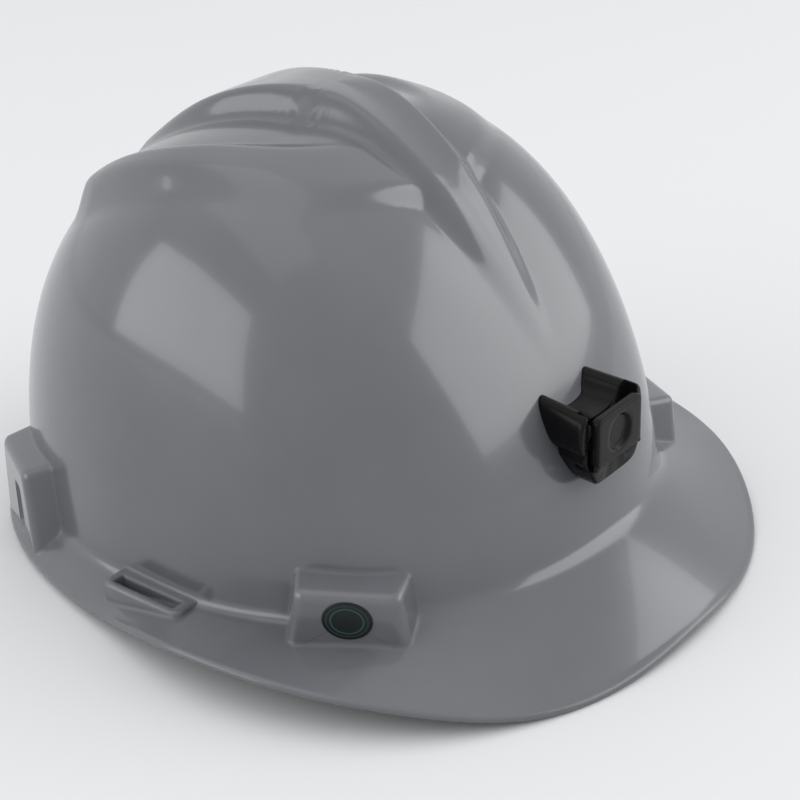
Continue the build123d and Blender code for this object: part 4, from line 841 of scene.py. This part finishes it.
def group(name, inputs, outputs):
    """A shared effect: inputs without a value are vectors, all other sockets are numbers."""
    tree = bpy.data.node_groups.new(name, "ShaderNodeTree")
    for title, value in inputs.items():
        kind = "NodeSocketVector" if value is None else "NodeSocketFloat"
        socket = tree.interface.new_socket(title, in_out="INPUT", socket_type=kind)
        if value is not None:
            socket.default_value = value
    for title in outputs:
        tree.interface.new_socket(title, in_out="OUTPUT", socket_type="NodeSocketFloat")
    return tree, tree.nodes.new("NodeGroupInput").outputs, tree.nodes.new("NodeGroupOutput").inputs


def use(tree, name, inputs):
    return node(tree, "ShaderNodeGroup", inputs, node_tree=bpy.data.node_groups[name]).outputs


# %% Shared effects
mottle, given, made = group("mottle", {"Vector": None, "Scale": 20.0}, ("Shade", "Specks"))
fine = noise(mottle, given[0], 900.0, 2.0)
fine = maths(mottle, "MULTIPLY_ADD", fine, 9.0, -5.6, clamp=True)
feed(mottle, made[0], noise(mottle, given[0], given[1], 4.0, 0.55))
feed(mottle, made[1], maths(mottle, "SMOOTH_MIN", fine, 1.0, 0.1))

grain, given, made = group("moulded_grain", {"Vector": None, "Size mm": 0.6}, ("Height",))
scale = maths(grain, "DIVIDE", 1000.0, given[1])
cells = node(grain, "ShaderNodeTexVoronoi", {"Vector": given[0], "Scale": scale},
             feature="SMOOTH_F1").outputs[0]
rough = times(grain, noise(grain, given[0], scale, 3.0), 0.5)
feed(grain, made[0], maths(grain, "MULTIPLY_ADD", cells, 0.6, rough))

weave, given, made = group("weave", {"Cloth mm": None, "Pitch mm": 1.0}, ("Height", "Fuzz"))
axes = node(weave, "ShaderNodeSeparateXYZ", {0: given[0]})
turns = maths(weave, "DIVIDE", 2 * math.pi, given[1])
along, across = (times(weave, axes.outputs[i], turns) for i in (0, 1))
warp = maths(weave, "SINE", maths(weave, "ADD", along, across))
weft = maths(weave, "SINE", maths(weave, "SUBTRACT", along, across))
feed(weave, made[0], maths(weave, "ABSOLUTE", times(weave, warp, weft)))
feed(weave, made[1], noise(weave, given[0], 1.4, 5.0))
print("groups", [g.name for g in bpy.data.node_groups])


# %% Helper: materials
SOCKETS = {"colour": "Base Color", "rough": "Roughness", "metal": "Metallic", "ior": "IOR",
           "coat": "Coat Weight", "coat_rough": "Coat Roughness", "spec": "Specular IOR Level",
           "sheen": "Sheen Weight", "sheen_rough": "Sheen Roughness", "normal": "Normal"}


def new_material(name):
    material = bpy.data.materials.new(name)
    material.use_nodes = True
    tree = material.node_tree
    return material, tree, tree.nodes["Principled BSDF"]


def hard_surface(tree, radius):
    """Object space, and a normal that is rounded over the radius at edges."""
    soft = node(tree, "ShaderNodeBevel", {"Radius": radius * MM}, samples=6).outputs[0]
    return node(tree, "ShaderNodeTexCoord").outputs["Object"], soft


def plug(tree, surface, **values):
    for key, value in values.items():
        feed(tree, surface.inputs[SOCKETS[key]], value)


def spread(tree, value, low, high):
    """Stretches the middle of a noise, 0.3 to 0.7, over low to high."""
    inputs = {0: value, 1: 0.3, 2: 0.7, 3: low, 4: high}
    return node(tree, "ShaderNodeMapRange", inputs).outputs[0]


def edge_mask(tree, soft):
    """Four times 1 - cos of the angle between the rounded and the true normal, up to 1."""
    flat = node(tree, "ShaderNodeNewGeometry").outputs["Normal"]
    same = node(tree, "ShaderNodeVectorMath", {0: soft, 1: flat}, operation="DOT_PRODUCT")
    apart = maths(tree, "SUBTRACT", 1.0, same.outputs["Value"])
    return maths(tree, "MULTIPLY", apart, 4.0, clamp=True)


def plastic(name, dark, light, rough, radius=0.5, grain_mm=1.0, grain_high=0.0015, coat=0.0,
            edge_wear_glint_colour=(0.3, 0.3, 0.3), edge_wear_glint_amount=0.25, peel=0.0, spec=0.5):
    """Moulded plastic: mottled colour, paler edges that are partly wear and partly a painted
    highlight, dust specks in the roughness, an etched grain and, with peel, the slow waves of a
    large gloss moulding. Lengths are in mm."""
    material, tree, surface = new_material(name)
    space, soft = hard_surface(tree, radius)
    shade = use(tree, "mottle", {"Vector": space, "Scale": 14.0})[0]
    patch, specks = use(tree, "mottle", {"Vector": space, "Scale": 160.0})[:2]
    # Edges are painted paler: partly wear, partly a painted highlight where rounded edges catch
    # light.
    edge_wear_glint = times(tree, edge_mask(tree, soft), spread(tree, patch, 0.0, edge_wear_glint_amount))
    colour = mix_colour(tree, spread(tree, shade, 0.0, 1.0), dark, light)
    dull = maths(tree, "ADD", spread(tree, shade, *rough), times(tree, specks, 0.05))
    height = use(tree, "moulded_grain", {"Vector": space, "Size mm": grain_mm})[0]
    normal = bump(tree, height, 0.6, grain_high, Normal=soft)
    if peel:
        normal = bump(tree, noise(tree, space, 210.0, 1.0), 1.0, peel, Normal=normal)
    plug(tree, surface, colour=mix_colour(tree, edge_wear_glint, colour, edge_wear_glint_colour), rough=dull, coat=coat,
         coat_rough=0.06, normal=normal, ior=1.5, spec=spec)
    return material


def ringed(material):
    """Lays plain rings over the label's colour, from the radius stored on its points."""
    tree = material.node_tree
    socket = tree.nodes["Principled BSDF"].inputs["Base Color"]
    base = socket.links[0].from_socket
    place = node(tree, "ShaderNodeAttribute", attribute_name="ring").outputs["Fac"]
    for low, high, colour in ((0.62, 0.69, (0.025, 0.055, 0.050)),
                              (0.80, 0.86, (0.014, 0.03, 0.027)),
                              (0.90, 1.1, (0.003, 0.004, 0.004))):
        past, short = maths(tree, "GREATER_THAN", place, low), maths(tree, "LESS_THAN", place, high)
        base = mix_colour(tree, times(tree, past, short), base, colour)
    tree.links.new(base, socket)


def metal(name, colour, rough):
    """Plated metal with short brushed lines."""
    material, tree, surface = new_material(name)
    space, soft = hard_surface(tree, 0.2)
    stretch = {"Vector": space, "Scale": (120.0, 1600.0, 1600.0)}
    lines = noise(tree, node(tree, "ShaderNodeMapping", stretch).outputs[0], 1.0, 3.0)
    tone = spread(tree, use(tree, "mottle", {"Vector": space, "Scale": 120.0})[0], 0.0, 1.0)
    shade = mix_colour(tree, tone, [c * 0.8 for c in colour], colour)
    plug(tree, surface, colour=shade, metal=1.0, rough=spread(tree, lines, rough, rough + 0.18),
         normal=bump(tree, lines, 0.25, 0.02, Normal=soft))
    return material


def cloth(name, dark, light, pitch, stitches, fuzzy=0.6):
    """Woven cloth: threads cross on a diagonal, with painted shade in the hollows of the weave,
    and stitches are drawn in cloth coordinates.
    """
    material, tree, surface = new_material(name)
    place = node(tree, "ShaderNodeAttribute", attribute_name="cloth_mm").outputs["Vector"]
    height, fuzz = use(tree, "weave", {"Cloth mm": place, "Pitch mm": pitch})[:2]
    # Thread crowns are painted lighter and the weave's hollows darker: painted shade in the weave;
    # the fuzz noise is the cloth's own uneven tone.
    tone = maths(tree, "MULTIPLY_ADD", fuzz, 0.5, times(tree, height, 0.6), clamp=True)
    thread = stitches(tree, node(tree, "ShaderNodeSeparateXYZ", {0: place}).outputs)
    colour = mix_colour(tree, tone, dark, light)
    colour = mix_colour(tree, times(tree, thread, 0.75), colour, (0.2, 0.2, 0.21))
    height = maths(tree, "ADD", height, times(tree, thread, 1.5))
    plug(tree, surface, colour=colour, rough=0.88, sheen=fuzzy, sheen_rough=0.5,
         normal=bump(tree, height, 0.7, 0.12), spec=0.25)
    return material


def within(tree, value, middle, half_width):
    """1 where |value - middle| < half_width."""
    off = maths(tree, "ABSOLUTE", maths(tree, "SUBTRACT", value, middle))
    return maths(tree, "LESS_THAN", off, half_width)


def dashes(tree, value, middle, run):
    """1 on a dashed line, 0.6 mm wide with a stitch every 3.2 mm, where value equals middle."""
    dash = maths(tree, "LESS_THAN", maths(tree, "FRACT", maths(tree, "DIVIDE", run, 3.2)), 0.68)
    return times(tree, within(tree, value, middle, 0.3), dash)


def strap_stitches(tree, axes):
    """A box of stitches near each end; the third cloth coordinate counts mm from the nearer end."""
    across, end = maths(tree, "ABSOLUTE", axes[1]), axes[2]
    sides = times(tree, dashes(tree, across, 6.6, end), within(tree, end, 7.5, 5.6))
    bars = [dashes(tree, end, place, axes[1]) for place in (2.0, 13.0)]
    bars = times(tree, maths(tree, "MAXIMUM", *bars), within(tree, axes[1], 0.0, 6.9))
    return maths(tree, "MAXIMUM", sides, bars)


def pad_stitches(tree, axes):
    """Lines at 11.7 mm above and below the middle: the hem of the 29.8 mm brow pad."""
    return dashes(tree, maths(tree, "ABSOLUTE", axes[1]), 11.7, axes[0])


# %% Make the finishes and give them to their pieces
# Each edge colour below paints edges paler, partly wear and partly painted highlight; on
# black_gloss the pale edges stand in for the highlights along the bracket's edges.
PLASTICS = {
    "shell_plastic": dict(
        dark=(0.097, 0.100, 0.108), light=(0.117, 0.120, 0.129), rough=(0.16, 0.22), radius=2.2,
        coat=0.35, edge_wear_glint_colour=(0.3, 0.3, 0.31), edge_wear_glint_amount=0.06, peel=0.006),
    "black_gloss": dict(
        dark=(0.0025, 0.0025, 0.003), light=(0.006, 0.006, 0.0065), rough=(0.2, 0.34), radius=0.8,
        coat=0.03, edge_wear_glint_colour=(0.045, 0.045, 0.048), edge_wear_glint_amount=0.10, spec=0.12),
    "band_plastic": dict(
        dark=(0.018, 0.018, 0.02), light=(0.03, 0.03, 0.032), rough=(0.42, 0.55), radius=0.4,
        grain_mm=0.7, grain_high=0.03),
    "key_plastic": dict(
        dark=(0.022, 0.022, 0.024), light=(0.038, 0.038, 0.04), rough=(0.38, 0.5),
        grain_mm=0.5, grain_high=0.02),
    "knob_plastic": dict(
        dark=(0.012, 0.012, 0.013), light=(0.02, 0.02, 0.022), rough=(0.3, 0.42),
        grain_mm=0.9, grain_high=0.015),
    "label_plastic": dict(
        dark=(0.003, 0.006, 0.006), light=(0.006, 0.012, 0.011), rough=(0.26, 0.4), radius=0.3,
        edge_wear_glint_colour=(0.08, 0.1, 0.095), edge_wear_glint_amount=0.3, spec=0.3),
}
finishes = {name: plastic(name, **values) for name, values in PLASTICS.items()}
finishes["steel"] = metal("steel", (0.55, 0.55, 0.56), 0.3)
finishes["aluminium"] = metal("aluminium", (0.56, 0.56, 0.57), 0.38)
finishes["pad_fabric"] = cloth("pad_fabric", (0.012, 0.012, 0.014), (0.05, 0.05, 0.055), 0.9,
                               pad_stitches)
finishes["webbing"] = cloth("webbing", (0.03, 0.03, 0.034), (0.12, 0.12, 0.13), 1.5,
                            strap_stitches, 0.35)
ringed(finishes["label_plastic"])

slots = {part["node"]: part["material_slot"] for part in frame["record"]["subparts"]}
pieces = [(piece, slots[name]) for name, piece in frame["nodes"].items()]
pieces += [(shell_skin, "shell_plastic"), (bracket, "black_gloss"), (label, "label_plastic")]
pieces += [(brow, "pad_fabric"), (nape, "pad_fabric")]
pieces += [(piece, "webbing") for piece in webbing]
for piece, slot in pieces:
    piece.data.materials.clear()
    piece.data.materials.append(finishes[slot])
print("finishes", len(finishes), "on", len(pieces), "pieces")

# %% [markdown]
# ## Floor, light and camera
# The photograph is a studio shot on white: a large soft box high on the left front, another on the
# right, and a wide panel above. Their window shapes show as soft reflections in the glossy dome.

# %% Floor and background
floor_mesh = bpy.data.meshes.new("floor")
floor_mesh.from_pydata([(-6, -6, 0), (6, -6, 0), (6, 6, 0), (-6, 6, 0)], [], [(0, 1, 2, 3)])
floor = bpy.data.objects.new("floor", floor_mesh)
paper, tree, surface = new_material("floor")
plug(tree, surface, colour=(0.60, 0.60, 0.60), rough=0.9)
floor.data.materials.append(paper)
bpy.context.scene.collection.objects.link(floor)

world = bpy.data.worlds.new("studio")
bpy.context.scene.world = world
world.use_nodes = True
sky = world.node_tree
sky.nodes.clear()
seen = node(sky, "ShaderNodeBackground", {"Color": (0.86, 0.86, 0.865), "Strength": 1.0})
toward = node(sky, "ShaderNodeTexCoord").outputs["Generated"]
toward = node(sky, "ShaderNodeSeparateXYZ", {0: toward}).outputs[2]
ceiling = node(sky, "ShaderNodeMapRange", {0: toward, 1: 0.12, 2: 0.75, 3: 0.26, 4: 1.4},
               interpolation_type="SMOOTHSTEP").outputs[0]
dim = node(sky, "ShaderNodeBackground", {"Color": (0.96, 0.97, 1.0), "Strength": ceiling})
ray = node(sky, "ShaderNodeLightPath").outputs
straight = ray["Is Camera Ray"]
for kind in ("Is Glossy Ray", "Is Transmission Ray"):
    straight = maths(sky, "MAXIMUM", straight, ray[kind])
choice = node(sky, "ShaderNodeMixShader", {0: straight, 1: dim.outputs[0], 2: seen.outputs[0]})
sky.links.new(choice.outputs[0], node(sky, "ShaderNodeOutputWorld").inputs[0])


def soft_box(name, place, aim, wide, high, power):
    light = bpy.data.lights.new(name, "AREA")
    light.shape, light.size, light.size_y, light.energy = "RECTANGLE", wide, high, power
    lamp = bpy.data.objects.new(name, light)
    lamp.location = place
    lamp.rotation_euler = (Vector(aim) - Vector(place)).to_track_quat("-Z", "Y").to_euler()
    bpy.context.scene.collection.objects.link(lamp)


soft_box("rear_window", (-1.51, 0.95, 0.62), (0, 0, 0.08), 1.6, 1.1, 12.0)
soft_box("front_window", (1.02, -1.42, 0.86), (0, 0, 0.08), 2.0, 1.1, 16.0)
soft_box("top_panel", (-0.55, 0.35, 1.75), (0, 0, 0.1), 1.6, 0.9, 2.0)


# %% Camera, from the outline in the photograph
def photo_camera(azimuth, elevation, roll, distance, focal, off_x, off_y):
    """Looks from azimuth (0 is the front, negative the wearer's right) at (0, -5.1, 66.8) mm.
    focal is in pixels of an 800 wide image; off_x, off_y move the image as a lens shift."""
    a, e, r = map(math.radians, (azimuth, elevation, roll))
    back = np.array([math.sin(a) * math.cos(e), -math.cos(a) * math.cos(e), math.sin(e)])
    right = np.array([math.cos(a), math.sin(a), 0.0])
    up = np.cross(back, right)
    right, up = math.cos(r) * right + math.sin(r) * up, -math.sin(r) * right + math.cos(r) * up
    lens = bpy.data.cameras.new("photo_camera")
    lens.sensor_width, lens.lens = 36.0, focal / 800 * 36.0
    lens.shift_x, lens.shift_y = -off_x / 800, off_y / 800
    lens.clip_start = 0.01
    eye = bpy.data.objects.new("photo_camera", lens)
    place = np.array([0, -5.1, 66.8]) * MM + back * distance * MM
    turn = Matrix([[*row] for row in np.stack([right, up, back], axis=1)]).to_4x4()
    turn.translation = place
    eye.matrix_world = turn
    bpy.context.scene.collection.objects.link(eye)
    bpy.context.scene.camera = eye


photo_camera(-50.04, 25.45, -2.51, 640.0, 1812.6, -32.12, -48.51)
bpy.context.scene.view_settings.view_transform = "Standard"
